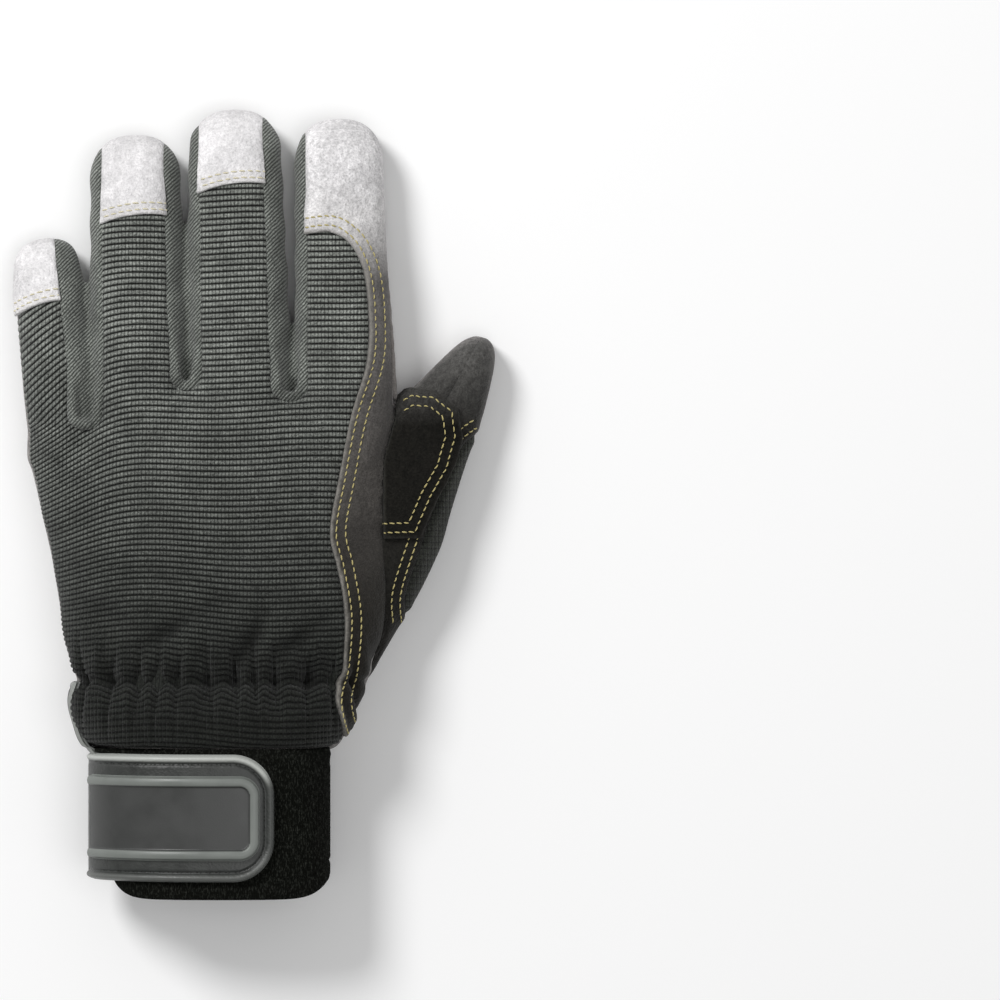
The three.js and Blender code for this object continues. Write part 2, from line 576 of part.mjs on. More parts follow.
function add(name, solid, material) {
  const { numProp, vertProperties, triVerts } = mainPiece(solid).getMesh();
  const position = new Float32Array((vertProperties.length / numProp) * 3);
  for (let i = 0; i * numProp < vertProperties.length; i++) {
    position.set(vertProperties.subarray(i * numProp, i * numProp + 3), i * 3);
  }
  const geometry = new THREE.BufferGeometry();
  geometry.setAttribute("position", new THREE.BufferAttribute(position, 3));
  geometry.setIndex(new THREE.BufferAttribute(new Uint32Array(triVerts), 1));
  geometry.computeVertexNormals();
  const mesh = new THREE.Mesh(geometry, material);
  mesh.name = name;
  glove.add(mesh);
}

add("back_panel", back, KNIT);
add("palm_panel", palm, SUEDE);
add("index_side_panel", backHalf.intersect(prism(sideRegion(0))), PALE_SUEDE);
for (const finger of caps) {
  const cap = backHalf.intersect(prism(capOutline(finger, 0)));
  add(finger.name + "_cap", cap, PALE_SUEDE);
}
for (const [left, right] of pairs) {
  add(left.name + "_" + right.name + "_gusset", skin.intersect(prism(gussetOutline(left, right, 0))), TWILL);
}
add("thumb_inner_panel", thumbWall.intersect(prism(innerSide(-SEAM_GAP / 2))), SUEDE);
add(
  "thumb_outer_panel",
  thumbWall.intersect(prism(outerSide(SEAM_GAP / 2))).subtract(prism(insertRegion(SEAM_GAP))),
  SUEDE,
);
add("thumb_knit_insert", thumbWall.intersect(prism(insertRegion(0))), KNIT);
add("palm_patch", palmPatch, SUEDE);
add("index_patch", indexPatch, SUEDE);
add("fork_patch", forkPatch, SUEDE);
add("cuff", cuffSolid(), ELASTIC);
add("strap", strapOver(strapClear, strapTop, 0, 0), LEATHER);
add("strap_plate", plateBase.subtract(plateSink), MOULDING);
add("strap_tab", tab, LEATHER);

// The glove is centred in plan on its own outline.
const box = new THREE.Box3().setFromObject(glove);
const centre = box.getCenter(new THREE.Vector3());
glove.position.set(-centre.x, -centre.y, 0);

export default glove;
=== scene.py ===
# Rigger glove, dressed. Lengths are millimetres until a mesh is made, in a frame whose x is measured from
# the glove's middle line, y from the hem along the fingers, and z from what the glove lies on.
import math

import bpy
import numpy as np
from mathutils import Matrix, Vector
from mathutils.bvhtree import BVHTree
from mathutils.kdtree import KDTree


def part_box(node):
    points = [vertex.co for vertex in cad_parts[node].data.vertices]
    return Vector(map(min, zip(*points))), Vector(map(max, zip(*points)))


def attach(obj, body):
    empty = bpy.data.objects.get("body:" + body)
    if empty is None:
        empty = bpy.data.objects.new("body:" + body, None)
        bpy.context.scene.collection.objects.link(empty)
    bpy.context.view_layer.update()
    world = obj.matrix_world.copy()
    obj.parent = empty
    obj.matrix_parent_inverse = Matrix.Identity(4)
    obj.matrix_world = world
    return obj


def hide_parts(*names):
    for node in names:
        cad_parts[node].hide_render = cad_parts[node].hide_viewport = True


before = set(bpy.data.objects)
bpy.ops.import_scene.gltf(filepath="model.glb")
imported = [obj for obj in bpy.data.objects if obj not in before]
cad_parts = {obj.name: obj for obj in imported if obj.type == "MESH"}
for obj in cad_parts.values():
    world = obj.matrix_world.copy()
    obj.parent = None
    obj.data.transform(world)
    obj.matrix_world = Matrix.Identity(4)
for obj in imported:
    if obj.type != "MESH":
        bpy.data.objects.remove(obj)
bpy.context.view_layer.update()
rng = np.random.default_rng(7)

# ---------------------------------------------------------------- sizes, as in the solids
HAND_WIDTH = 115.0
HAND_LENGTH = 115.5
HAND_THICK = 38.0
KNUCKLE_DROP = 12.0
PATCH_THICK = 1.4
PALM_ARCH = 4.5
CUFF_LENGTH = 46.0
CUFF_WIDTH = 69.0
CUFF_HEIGHT = 42.0
CUFF_WALL = 2.0
CUFF_POWER = 2.4
HEM_BOW = 5.5
STRAP_WIDTH = 40.0
STRAP_REACH = 52.0
STRAP_THICK = 2.2
STRAP_STAND = 5.5
STRAP_LIFT = 0.5
FINGER_ROOT_BACK = 26.0
FINGER_TIP_ROUND = 0.52
FINGER_SINK = 3.0
THUMB_BASE = (0.17, 0.303)
THUMB_LENGTH = 110.2
THUMB_LEAN = math.radians(28.5)
THUMB_WIDTH = 52.0
THUMB_HEIGHT = 27.0
CUFF_X = -0.089 * HAND_WIDTH
KNUCKLE_Y = CUFF_LENGTH + HAND_LENGTH
PATCH_LIFT = 0.3 + PATCH_THICK
FAR = 400.0

# name, base x, lean, reach, width, height at the root, height at the tip, left and right seam, cap length
FINGERS = {
    "little": (-0.538, 6.8, 47.5, 22.6, 26.0, 18.0, None, 0.34, 20.5),
    "ring": (-0.317, 1.5, 80.5, 30.0, 28.0, 20.5, -0.74, 0.68, 26.0),
    "middle": (-0.037, 1.7, 88.5, 31.0, 28.5, 21.0, -0.78, 0.64, 24.0),
    "index": (0.247, 1.4, 85.6, 29.5, 28.0, 21.0, -0.76, None, 40.0),
}
REACH_LONGEST = max(finger[2] for finger in FINGERS.values())

# share of the hand's length, left, right, top, share of the knuckle curve
HAND_SECTIONS = np.array([
    (0.0, (CUFF_X - CUFF_WIDTH / 2) / HAND_WIDTH, (CUFF_X + CUFF_WIDTH / 2) / HAND_WIDTH, CUFF_HEIGHT / HAND_THICK, 0),
    (0.014, -0.457, 0.233, 1.12, 0), (0.07, -0.482, 0.256, 1.135, 0), (0.14, -0.498, 0.286, 1.09, 0),
    (0.202, -0.489, 0.316, 1.0, 0), (0.25, -0.507, 0.333, 1.045, 0), (0.305, -0.523, 0.35, 1.05, 0),
    (0.41, -0.538, 0.366, 1.03, 0), (0.52, -0.557, 0.377, 0.99, 0), (0.66, -0.587, 0.383, 0.93, 0.05),
    (0.8, -0.612, 0.385, 0.85, 0.3), (0.92, -0.628, 0.386, 0.78, 0.85), (0.985, -0.628, 0.384, 0.68, 1),
    (1.04, -0.615, 0.37, 0.44, 1),
])
# share of the thumb's length, left, right, top
THUMB_SECTIONS = np.array([
    (-0.246, 0.06, 0.06, 0.4), (-0.207, 0.26, 0.19, 0.7), (-0.118, 0.43, 0.33, 0.9), (0.0, 0.55, 0.395, 0.97),
    (0.128, 0.62, 0.405, 1.0), (0.256, 0.59, 0.417, 1.0), (0.394, 0.5, 0.403, 0.95), (0.512, 0.405, 0.35, 0.88),
    (0.65, 0.305, 0.293, 0.8), (0.787, 0.21, 0.246, 0.73), (0.887, 0.147, 0.193, 0.68),
    (0.95, 0.1, 0.15, 0.61), (0.985, 0.052, 0.108, 0.5), (1.0, 0.0, 0.06, 0.38),
])
SIDE_PANEL_EDGE = [
    (0.205, 1.425), (0.25, 1.405), (0.283, 1.365), (0.307, 1.3), (0.318, 1.2), (0.315, 1.07),
    (0.27, 0.92), (0.235, 0.74), (0.213, 0.6), (0.235, 0.5), (0.256, 0.37), (0.248, 0.24),
    (0.228, 0.14), (0.25, 0.02), (0.27, -0.1),
]
PALM_PATCH = [
    (-0.72, 0.925), (-0.505, 0.925), (-0.465, 0.773), (-0.43, 0.785), (-0.366, 0.826), (-0.353, 0.974),
    (-0.333, 1.0), (-0.25, 0.995), (-0.234, 0.87), (-0.148, 0.905), (-0.13, 1.015), (-0.02, 1.015),
    (0.02, 0.93), (0.1, 0.806), (0.125, 0.754), (0.113, 0.715), (0.055, 0.63), (-0.055, 0.454),
    (-0.1, 0.35), (-0.137, 0.226), (-0.18, 0.212), (-0.31, 0.19), (-0.72, 0.18),
]
INDEX_PATCH = [
    (0.15, 1.27), (0.17, 1.315), (0.21, 1.33), (0.46, 1.33), (0.46, 0.72), (0.205, 0.72), (0.175, 0.9),
]
FORK_PATCH = [
    (0.3, 0.95), (0.385, 0.965), (0.43, 0.99), (0.5, 0.985), (0.56, 0.94), (0.57, 0.86), (0.545, 0.77),
    (0.5, 0.69), (0.455, 0.585), (0.3, 0.58),
]
THUMB_INSERT = [(0.17, -0.03), (0.24, 0.06), (0.36, 0.105), (0.5, 0.1), (0.62, 0.08), (0.7, 0.045), (0.76, -0.03)]

# ---------------------------------------------------------------- small helpers


def mix(a, b, t):
    return a + (b - a) * t


def smooth(t):
    t = np.clip(t, 0, 1)
    return t * t * (3 - 2 * t)


def on_hand(x, y):
    return np.array([x * HAND_WIDTH, CUFF_LENGTH + y * HAND_LENGTH])


def through(xs, ys, t):
    """A smooth curve through a table's points that never swings past them."""
    xs, ys, t = np.asarray(xs, float), np.asarray(ys, float), np.asarray(t, float)
    step = np.diff(xs)
    rise = np.diff(ys) / step
    slope = np.empty_like(ys)
    slope[0], slope[-1] = rise[0], rise[-1]
    same = rise[:-1] * rise[1:] > 0
    slope[1:-1] = np.where(same, 2 * rise[:-1] * rise[1:] / np.where(same, rise[:-1] + rise[1:], 1), 0)
    t = np.clip(t, xs[0], xs[-1])
    k = np.clip(np.searchsorted(xs, t, side="right") - 1, 0, len(step) - 1)
    h = step[k]
    u = (t - xs[k]) / h
    return ((1 + 2 * u) * (1 - u) ** 2 * ys[k] + u * (1 - u) ** 2 * h * slope[k]
            + u * u * (3 - 2 * u) * ys[k + 1] + u * u * (u - 1) * h * slope[k + 1])


def round_square(power, turn):
    c, s = np.cos(turn), np.sin(turn)
    return np.sign(c) * np.abs(c) ** (2 / power), np.sign(s) * np.abs(s) ** (2 / power)


def curved(points, step=1.0, closed=False, corner=None):
    """A line through points with rounded turns, in even steps. corner keeps the long runs straight up to there."""
    p = np.asarray(points, float)
    if corner:
        kept = []
        for a, b in zip(p, np.roll(p, -1, 0)):
            size = np.linalg.norm(b - a)
            share = [0, corner / size, 1 - corner / size] if size > 2.5 * corner else [0]
            kept += [mix(a, b, t) for t in share]
        p = np.array(kept)
    if closed:
        p = np.vstack([p[-1], p, p[0], p[1]])
    else:
        p = np.vstack([2 * p[0] - p[1], p, 2 * p[-1] - p[-2]])
    line = []
    for a, b, c, d in zip(p[:-3], p[1:-2], p[2:-1], p[3:]):
        t = np.linspace(0, 1, 9)[:-1, None]
        line.append(0.5 * (2 * b + (c - a) * t + (2 * a - 5 * b + 4 * c - d) * t * t
                           + (3 * b - a - 3 * c + d) * t ** 3))
    line = np.vstack(line + [p[-2][None]])
    return even(line, step)


def even(line, step):
    line = np.asarray(line, float)
    run = np.r_[0, np.cumsum(np.linalg.norm(np.diff(line, axis=0), axis=1))]
    count = max(2, int(round(run[-1] / step)) + 1)
    at = np.linspace(0, run[-1], count)
    return np.stack([np.interp(at, run, line[:, k]) for k in range(line.shape[1])], 1)


def shifted(line, by):
    """A plan line moved sideways, to its left."""
    way = np.gradient(line, axis=0)
    way /= np.linalg.norm(way, axis=1)[:, None] + 1e-12
    return line + by * np.stack([-way[:, 1], way[:, 0]], 1)


def depth_in(outline, x, y):
    """How far plan points lie inside a closed outline, in mm. Outside is negative."""
    a = np.asarray(outline, float)
    b = np.roll(a, -1, 0)
    best = np.full(x.shape, 1e9)
    inside = np.zeros(x.shape, bool)
    for (ax, ay), (bx, by) in zip(a, b):
        dx, dy = bx - ax, by - ay
        size = dx * dx + dy * dy
        if size == 0:
            continue
        t = np.clip(((x - ax) * dx + (y - ay) * dy) / size, 0, 1)
        best = np.minimum(best, (x - ax - t * dx) ** 2 + (y - ay - t * dy) ** 2)
        if dy != 0:
            inside ^= ((ay > y) != (by > y)) & (x < ax + (y - ay) * dx / dy)
    return np.where(inside, 1, -1) * np.sqrt(best)


# ---------------------------------------------------------------- the glove's form


def knuckle_fall(x):
    bend = (x / HAND_WIDTH + 0.104) / 0.34
    return KNUCKLE_DROP * np.minimum(1.2, bend * bend)


def ground_level(x, y):
    past = (y - KNUCKLE_Y) / REACH_LONGEST
    lift = smooth((y - CUFF_LENGTH) / (0.12 * HAND_LENGTH)) * (1 - smooth((past - 0.44) / 0.3))
    dx = (x + 0.05 * HAND_WIDTH) / (0.42 * HAND_WIDTH)
    dy = (y - CUFF_LENGTH - 0.66 * HAND_LENGTH) / (0.44 * HAND_LENGTH)
    hollow = np.maximum(0, 1 - dx * dx - dy * dy)
    return PATCH_LIFT * lift + PALM_ARCH * hollow * hollow


def hand_size(at):
    left, right, top, arc = (through(HAND_SECTIONS[:, 0], HAND_SECTIONS[:, k], at) for k in (1, 2, 3, 4))
    top = top * HAND_THICK
    bottom = mix(-1, top, through([0, 0.92, 0.985, 1.04], [0, 0, 0.16, 0.35], at))
    return left * HAND_WIDTH, right * HAND_WIDTH, bottom, top, arc


def hand_rings():
    at = np.linspace(0, 1.04, 120)[:, None]
    left, right, bottom, top, arc = hand_size(at)
    across, up = round_square(CUFF_POWER, np.linspace(0, 2 * np.pi, 180, endpoint=False))
    x = (left + right) / 2 + across * (right - left) / 2
    y = CUFF_LENGTH + at * HAND_LENGTH + 0 * x
    z = np.maximum((top + bottom) / 2 + up * (top - bottom) / 2, ground_level(x, y))
    return np.stack([x, y - arc * knuckle_fall(x), z], 2)


def finger_frame(name, past):
    base, lean = FINGERS[name][0] * HAND_WIDTH, math.radians(FINGERS[name][1])
    centre = np.stack([base - math.tan(lean) * past, KNUCKLE_Y + past + 0 * past], -1)
    return centre, np.array([math.cos(lean), math.sin(lean)])


def finger_size(name, past):
    _, _, reach, width, root_top, tip_top, *_ = FINGERS[name]
    taper = mix(1.04, 0.94, np.clip(past / reach, 0, 1))
    end = FINGER_TIP_ROUND * width
    short = np.clip(1 - (reach - past) / end, 0, 1)
    behind = smooth((past + FINGER_ROOT_BACK) / (0.6 * FINGER_ROOT_BACK))
    half = width * taper / 2 * np.maximum(0.02, (1 - short ** 2.6) ** (1 / 2.3)) * mix(0.8, 1, behind)
    centre, _ = finger_frame(name, past)
    ground = ground_level(centre[..., 0], centre[..., 1])
    level = mix(root_top, tip_top, smooth(past / reach))
    low = ground - 1
    middle = (level + low) / 2 - 1.5 * short
    high = (level - low) / 2 * np.maximum(0.05, (1 - short ** 2.4) ** (1 / 2.4))
    sunk = FINGER_SINK * smooth((-past - knuckle_fall(centre[..., 0])) / (0.3 * FINGER_ROOT_BACK))
    return half, middle, high, ground + sunk


def finger_rings(name):
    reach, width = FINGERS[name][2:4]
    end = FINGER_TIP_ROUND * width
    past = np.r_[np.linspace(-FINGER_ROOT_BACK, reach - end, 60),
                 reach - end + end * np.sin(np.linspace(0.06, math.pi / 2, 26))][:, None]
    centre, way = finger_frame(name, past[:, 0])
    half, middle, high, ground = (v[:, None] for v in finger_size(name, past[:, 0]))
    across, up = round_square(2.3, np.linspace(0, 2 * np.pi, 90, endpoint=False))
    x = centre[:, :1] + way[0] * across * half
    y = centre[:, 1:] + way[1] * across * half
    return np.stack([x, y, np.maximum(middle + up * high, ground)], 2)


def on_thumb(at, side):
    along = at * THUMB_LENGTH
    x, y = on_hand(*THUMB_BASE)
    return np.stack([x + along * math.sin(THUMB_LEAN) + side * math.cos(THUMB_LEAN),
                     y + along * math.cos(THUMB_LEAN) - side * math.sin(THUMB_LEAN)], -1)


def thumb_size(at):
    left, right, top = (through(THUMB_SECTIONS[:, 0], THUMB_SECTIONS[:, k], at) for k in (1, 2, 3))
    left, right = left * THUMB_WIDTH, right * THUMB_WIDTH
    middle = top * THUMB_HEIGHT / 2 - 0.5
    return (right - left) / 2, np.maximum(0.4, (right + left) / 2), middle, middle + 1


def thumb_rings():
    at = np.r_[np.linspace(-0.246, 0.9, 90), 0.9 + 0.1 * np.sin(np.linspace(0.1, math.pi / 2, 16))][:, None]
    side, half, middle, high = thumb_size(at)
    across, up = round_square(2.2, np.linspace(0, 2 * np.pi, 110, endpoint=False))
    plan = on_thumb(at + 0 * across, side + across * half)
    z = np.maximum(middle + up * high, 0)
    return np.concatenate([plan, z[..., None]], 2)


def hand_depth(p):
    """Roughly how deep points lie in the hand or a finger. Outside is negative."""
    x, y, z = p.T
    at = (y + 0.5 * knuckle_fall(x) * smooth((y - 130) / 30) - CUFF_LENGTH) / HAND_LENGTH
    left, right, bottom, top, _ = hand_size(at)
    a = (x - (left + right) / 2) / ((right - left) / 2)
    u = (z - (top + bottom) / 2) / ((top - bottom) / 2)
    deep = (1 - (np.abs(a) ** CUFF_POWER + np.abs(u) ** CUFF_POWER) ** (1 / CUFF_POWER)) * (top - bottom) / 2
    deep = np.minimum(deep, (1.04 - at) * HAND_LENGTH)
    half, middle, high, _ = finger_size("index", y - KNUCKLE_Y)
    centre, _ = finger_frame("index", y - KNUCKLE_Y)
    a = (x - centre[:, 0]) / half
    u = (z - middle) / high
    finger = (1 - (np.abs(a) ** 2.3 + np.abs(u) ** 2.3) ** (1 / 2.3)) * high
    return np.maximum(np.where(y > KNUCKLE_Y - 20, np.maximum(deep, finger), deep), -8)


def thumb_place(p):
    """The share of the thumb's length and the side that points have."""
    x, y = on_hand(*THUMB_BASE)
    dx, dy = p[:, 0] - x, p[:, 1] - y
    along = dx * math.sin(THUMB_LEAN) + dy * math.cos(THUMB_LEAN)
    return along / THUMB_LENGTH, dx * math.cos(THUMB_LEAN) - dy * math.sin(THUMB_LEAN)


def thumb_depth(p):
    at, side = thumb_place(p)
    centre, half, middle, high = thumb_size(at)
    a, u = (side - centre) / half, (p[:, 2] - middle) / high
    deep = (1 - (np.abs(a) ** 2.2 + np.abs(u) ** 2.2) ** (1 / 2.2)) * np.minimum(half, high)
    return np.where((at < -0.246) | (at > 1.001), -FAR, deep)


# ---------------------------------------------------------------- meshes


def shift():
    low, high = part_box("cuff")
    return np.array([(low[0] + high[0]) / 2 * 1000 - CUFF_X, low[1] * 1000, 0])


SHIFT = shift()


def new_piece(name, points, faces, material=None, shade=True):
    mesh = bpy.data.meshes.new(name)
    mesh.from_pydata(((points + SHIFT) / 1000).tolist(), [], faces if isinstance(faces, list) else faces.tolist())
    mesh.update()
    if shade:
        mesh.polygons.foreach_set("use_smooth", np.ones(len(mesh.polygons), bool))
    piece = bpy.data.objects.new(name, mesh)
    bpy.context.scene.collection.objects.link(piece)
    if material:
        mesh.materials.append(material)
    return piece


def lofted(rings):
    count, around = rings.shape[:2]
    number = np.arange(count * around).reshape(count, around)
    a, b = number[:-1], np.roll(number[:-1], -1, 1)
    d, c = number[1:], np.roll(number[1:], -1, 1)
    faces = np.stack([a, d, c, b], -1).reshape(-1, 4).tolist()
    return rings.reshape(-1, 3), faces + [number[0].tolist(), number[-1][::-1].tolist()]


def whole_skin():
    """The glove's outer skin as one closed surface, in small triangles."""
    points, faces, start = [], [], 0
    for rings in [hand_rings(), thumb_rings()] + [finger_rings(name) for name in FINGERS]:
        p, f = lofted(rings)
        points.append(p)
        faces += [[i + start for i in face] for face in f]
        start += len(p)
    body = new_piece("skin", np.vstack(points), faces)
    merge = body.modifiers.new("merge", "REMESH")
    merge.mode = "VOXEL"
    merge.voxel_size = 0.0011
    relax = body.modifiers.new("relax", "SMOOTH")
    relax.factor = 0.5
    relax.iterations = 7
    shown = body.evaluated_get(bpy.context.evaluated_depsgraph_get())
    mesh = shown.to_mesh()
    mesh.calc_loop_triangles()
    p = np.empty(len(mesh.vertices) * 3)
    mesh.vertices.foreach_get("co", p)
    f = np.empty(len(mesh.loop_triangles) * 3, np.int32)
    mesh.loop_triangles.foreach_get("vertices", f)
    shown.to_mesh_clear()
    bpy.data.objects.remove(body)
    return p.reshape(-1, 3) * 1000 - SHIFT, f.reshape(-1, 3).astype(np.int64)


def normals_of(points, faces):
    a, b, c = (points[faces[:, k]] for k in range(3))
    flat = np.cross(b - a, c - a)
    out = np.zeros_like(points)
    for k in range(3):
        for axis in range(3):
            out[:, axis] += np.bincount(faces[:, k], flat[:, axis], len(points))
    return out / (np.linalg.norm(out, axis=1)[:, None] + 1e-12)


def cut(data, faces, level):
    """Adds edges where a value over the surface crosses zero. data holds a row for each point."""
    level = np.where(np.abs(level) < 2e-3, 2e-3, level)
    inside = level > 0
    held = inside[faces].sum(1)
    crossing = (held == 1) | (held == 2)
    t = faces[crossing]
    row = np.arange(len(t))
    lone = np.where(held[crossing] == 1, np.argmax(inside[t], 1), np.argmin(inside[t], 1))
    a, b, c = t[row, lone], t[row, (lone + 1) % 3], t[row, (lone + 2) % 3]
    edges = np.sort(np.concatenate([np.stack([a, b], 1), np.stack([a, c], 1)]), 1)
    count = len(data)
    key, back = np.unique(edges[:, 0] * count + edges[:, 1], return_inverse=True)
    i, j = key // count, key % count
    w = (level[i] / (level[i] - level[j]))[:, None]
    data = np.vstack([data, data[i] * (1 - w) + data[j] * w])
    ab, ac = count + back[:len(t)], count + back[len(t):]
    faces = np.vstack([faces[~crossing], np.stack([a, ab, ac], 1), np.stack([ab, b, c], 1), np.stack([ab, c, ac], 1)])
    return data, faces


def part_of(data, faces, chosen):
    faces = faces[chosen]
    used, back = np.unique(faces, return_inverse=True)
    return data[used], back.reshape(faces.shape)


def rim(faces):
    """The directed edges that only one face has."""
    e = np.concatenate([faces[:, [0, 1]], faces[:, [1, 2]], faces[:, [2, 0]]])
    count = faces.max() + 1
    key = e[:, 0] * count + e[:, 1]
    return e[~np.isin(key, e[:, 1] * count + e[:, 0])]


def distance_to(points, marks):
    tree = KDTree(len(marks))
    for number, mark in enumerate(marks):
        tree.insert(mark, number)
    tree.balance()
    return np.array([tree.find(p)[2] for p in points])


def rim_marks(points, faces, chosen=None):
    e = rim(faces)
    a, b = points[e[:, 0]], points[e[:, 1]]
    marks = np.vstack([mix(a, b, t) for t in (0, 0.34, 0.67)])
    return marks if chosen is None else marks[chosen(marks)]


def shell(points, normals, faces, outer, inner):
    """Closes a panel into a wall. outer and inner are heights over the skin."""
    count = len(points)
    top = points + normals * outer[:, None]
    under = points + normals * inner[:, None]
    e = rim(faces)
    side = np.vstack([np.stack([e[:, 1], e[:, 0], e[:, 0] + count], 1),
                      np.stack([e[:, 1], e[:, 0] + count, e[:, 1] + count], 1)])
    return np.vstack([top, under]), np.vstack([faces, faces[:, ::-1] + count, side])


# ---------------------------------------------------------------- plan outlines of the panels


def strip_edge(name, side, past, grow=0.0):
    _, _, reach, width, _, _, seam_left, seam_right, _ = FINGERS[name]
    centre, way = finger_frame(name, past)
    half = width / 2 * mix(1.04, 0.94, np.clip(past / reach, 0, 1))
    offset = (seam_left if side < 0 else seam_right) * half + side * grow
    return centre + way * np.asarray(offset)[..., None]


def gusset_outline(left, right):
    tips = [FINGERS[name][2] + FINGERS[name][3] for name in (left, right)]
    near = strip_edge(left, 1, np.linspace(tips[0], 7, 30))
    far = strip_edge(right, -1, np.linspace(7, tips[1], 30))
    fork_x = (near[-1, 0] + far[0, 0]) / 2
    fork_y = KNUCKLE_Y - knuckle_fall(fork_x) + 4.5
    turn = np.linspace(math.pi, 2 * math.pi, 17)
    half = (far[0, 0] - near[-1, 0]) / 2
    fork = np.stack([fork_x + half * np.cos(turn), fork_y + 4.8 * np.sin(turn)], 1)
    return np.vstack([near, fork, far])


def cap_outline(name):
    _, _, reach, width, *_, cap = FINGERS[name]
    s = np.linspace(-1, 1, 13)
    centre, way = finger_frame(name, reach - cap - 0.1 * width * (s - 0.25) ** 2)
    side = 0.53 * width
    edge = centre + way * (s * side)[:, None]
    top = finger_frame(name, np.array(reach + width))[0]
    return np.vstack([edge, [[top[0] + side, top[1]], [top[0] - side, top[1]]]])


SIDE_EDGE = curved([on_hand(*p) for p in SIDE_PANEL_EDGE])


def side_region():
    inner = finger_frame("index", np.array(FINGERS["index"][2]))[0][0] - 0.53 * FINGERS["index"][3]
    return np.vstack([
        SIDE_EDGE[::-1],
        [[inner, SIDE_EDGE[0][1] - 1.4], [inner, FAR], [FAR, FAR], [FAR, -FAR], [SIDE_EDGE[-1][0], -FAR]],
    ])


def seam_height(y):
    return np.interp(y, [CUFF_LENGTH, CUFF_LENGTH + 0.45 * HAND_LENGTH, KNUCKLE_Y - 0.1 * HAND_LENGTH,
                         KNUCKLE_Y + 0.3 * REACH_LONGEST, KNUCKLE_Y + 0.55 * REACH_LONGEST],
                     [21, 0.5 * HAND_THICK, 0.42 * HAND_THICK, 0.28 * HAND_THICK, 0.2 * HAND_THICK])


def insert_region():
    at = np.array([p[0] for p in THUMB_INSERT])
    inner = np.array([p[1] for p in THUMB_INSERT])
    right = through(THUMB_SECTIONS[:, 0], THUMB_SECTIONS[:, 2], at) * THUMB_WIDTH
    edge = curved(on_thumb(at, right - inner * THUMB_WIDTH))
    return np.vstack([edge, on_thumb(np.array([0.76, 0.17]), np.array([THUMB_WIDTH, THUMB_WIDTH]))])


PAIRS = [("little", "ring"), ("ring", "middle"), ("middle", "index")]
OUTLINES = {a + "_" + b: gusset_outline(a, b) for a, b in PAIRS}
CAPS = {name: cap_outline(name) for name in ("little", "ring", "middle")}
SIDE = side_region()
INSERT = insert_region()


def fields(p):
    """What each panel's border is measured by, at points on the skin."""
    x, y, z = p.T
    value = {"thumb": thumb_depth(p) - hand_depth(p), "upper": z - seam_height(y)}
    for name, outline in OUTLINES.items():
        value[name] = depth_in(outline, x, y)
    for name, outline in CAPS.items():
        value["cap_" + name] = depth_in(outline, x, y)
    value["side"] = depth_in(SIDE, x, y)
    value["insert"] = depth_in(INSERT, x, y)
    value["outer"] = thumb_place(p)[1]
    value["wrist"] = y - CUFF_LENGTH + 0.5
    return value


skin_points, skin_faces = whole_skin()
data = np.hstack([skin_points, normals_of(skin_points, skin_faces)])
for border in list(fields(data[:1, :3])):
    data, skin_faces = cut(data, skin_faces, fields(data[:, :3])[border])
value = fields(data[:, :3])
middle = {name: v[skin_faces].mean(1) for name, v in value.items()}
on_glove = middle["wrist"] > 0
in_thumb = (middle["thumb"] > 0) & on_glove
in_hand = (middle["thumb"] <= 0) & on_glove
in_gusset = np.zeros(len(skin_faces), bool)
panel = {}
for a, b in PAIRS:
    here = in_hand & (middle[a + "_" + b] > 0)
    panel[a + "_" + b + "_gusset"] = here
    in_gusset |= here
upper = in_hand & ~in_gusset & (middle["upper"] > 0)
panel["palm_panel"] = in_hand & ~in_gusset & (middle["upper"] <= 0)
panel["index_side_panel"] = upper & (middle["side"] > 0)
rest = upper & (middle["side"] <= 0)
for name in CAPS:
    here = rest & (middle["cap_" + name] > 0)
    panel[name + "_cap"] = here
    rest = rest & ~here
panel["back_panel"] = rest
panel["thumb_knit_insert"] = in_thumb & (middle["insert"] > 0)
panel["thumb_outer_panel"] = in_thumb & (middle["insert"] <= 0) & (middle["outer"] > 0)
panel["thumb_inner_panel"] = in_thumb & (middle["insert"] <= 0) & (middle["outer"] <= 0)


# ---------------------------------------------------------------- materials


def linear(colour):
    parts = [int(colour[k:k + 2], 16) / 255 for k in (1, 3, 5)]
    return tuple(c / 12.92 if c <= 0.04045 else ((c + 0.055) / 1.055) ** 2.4 for c in parts) + (1.0,)


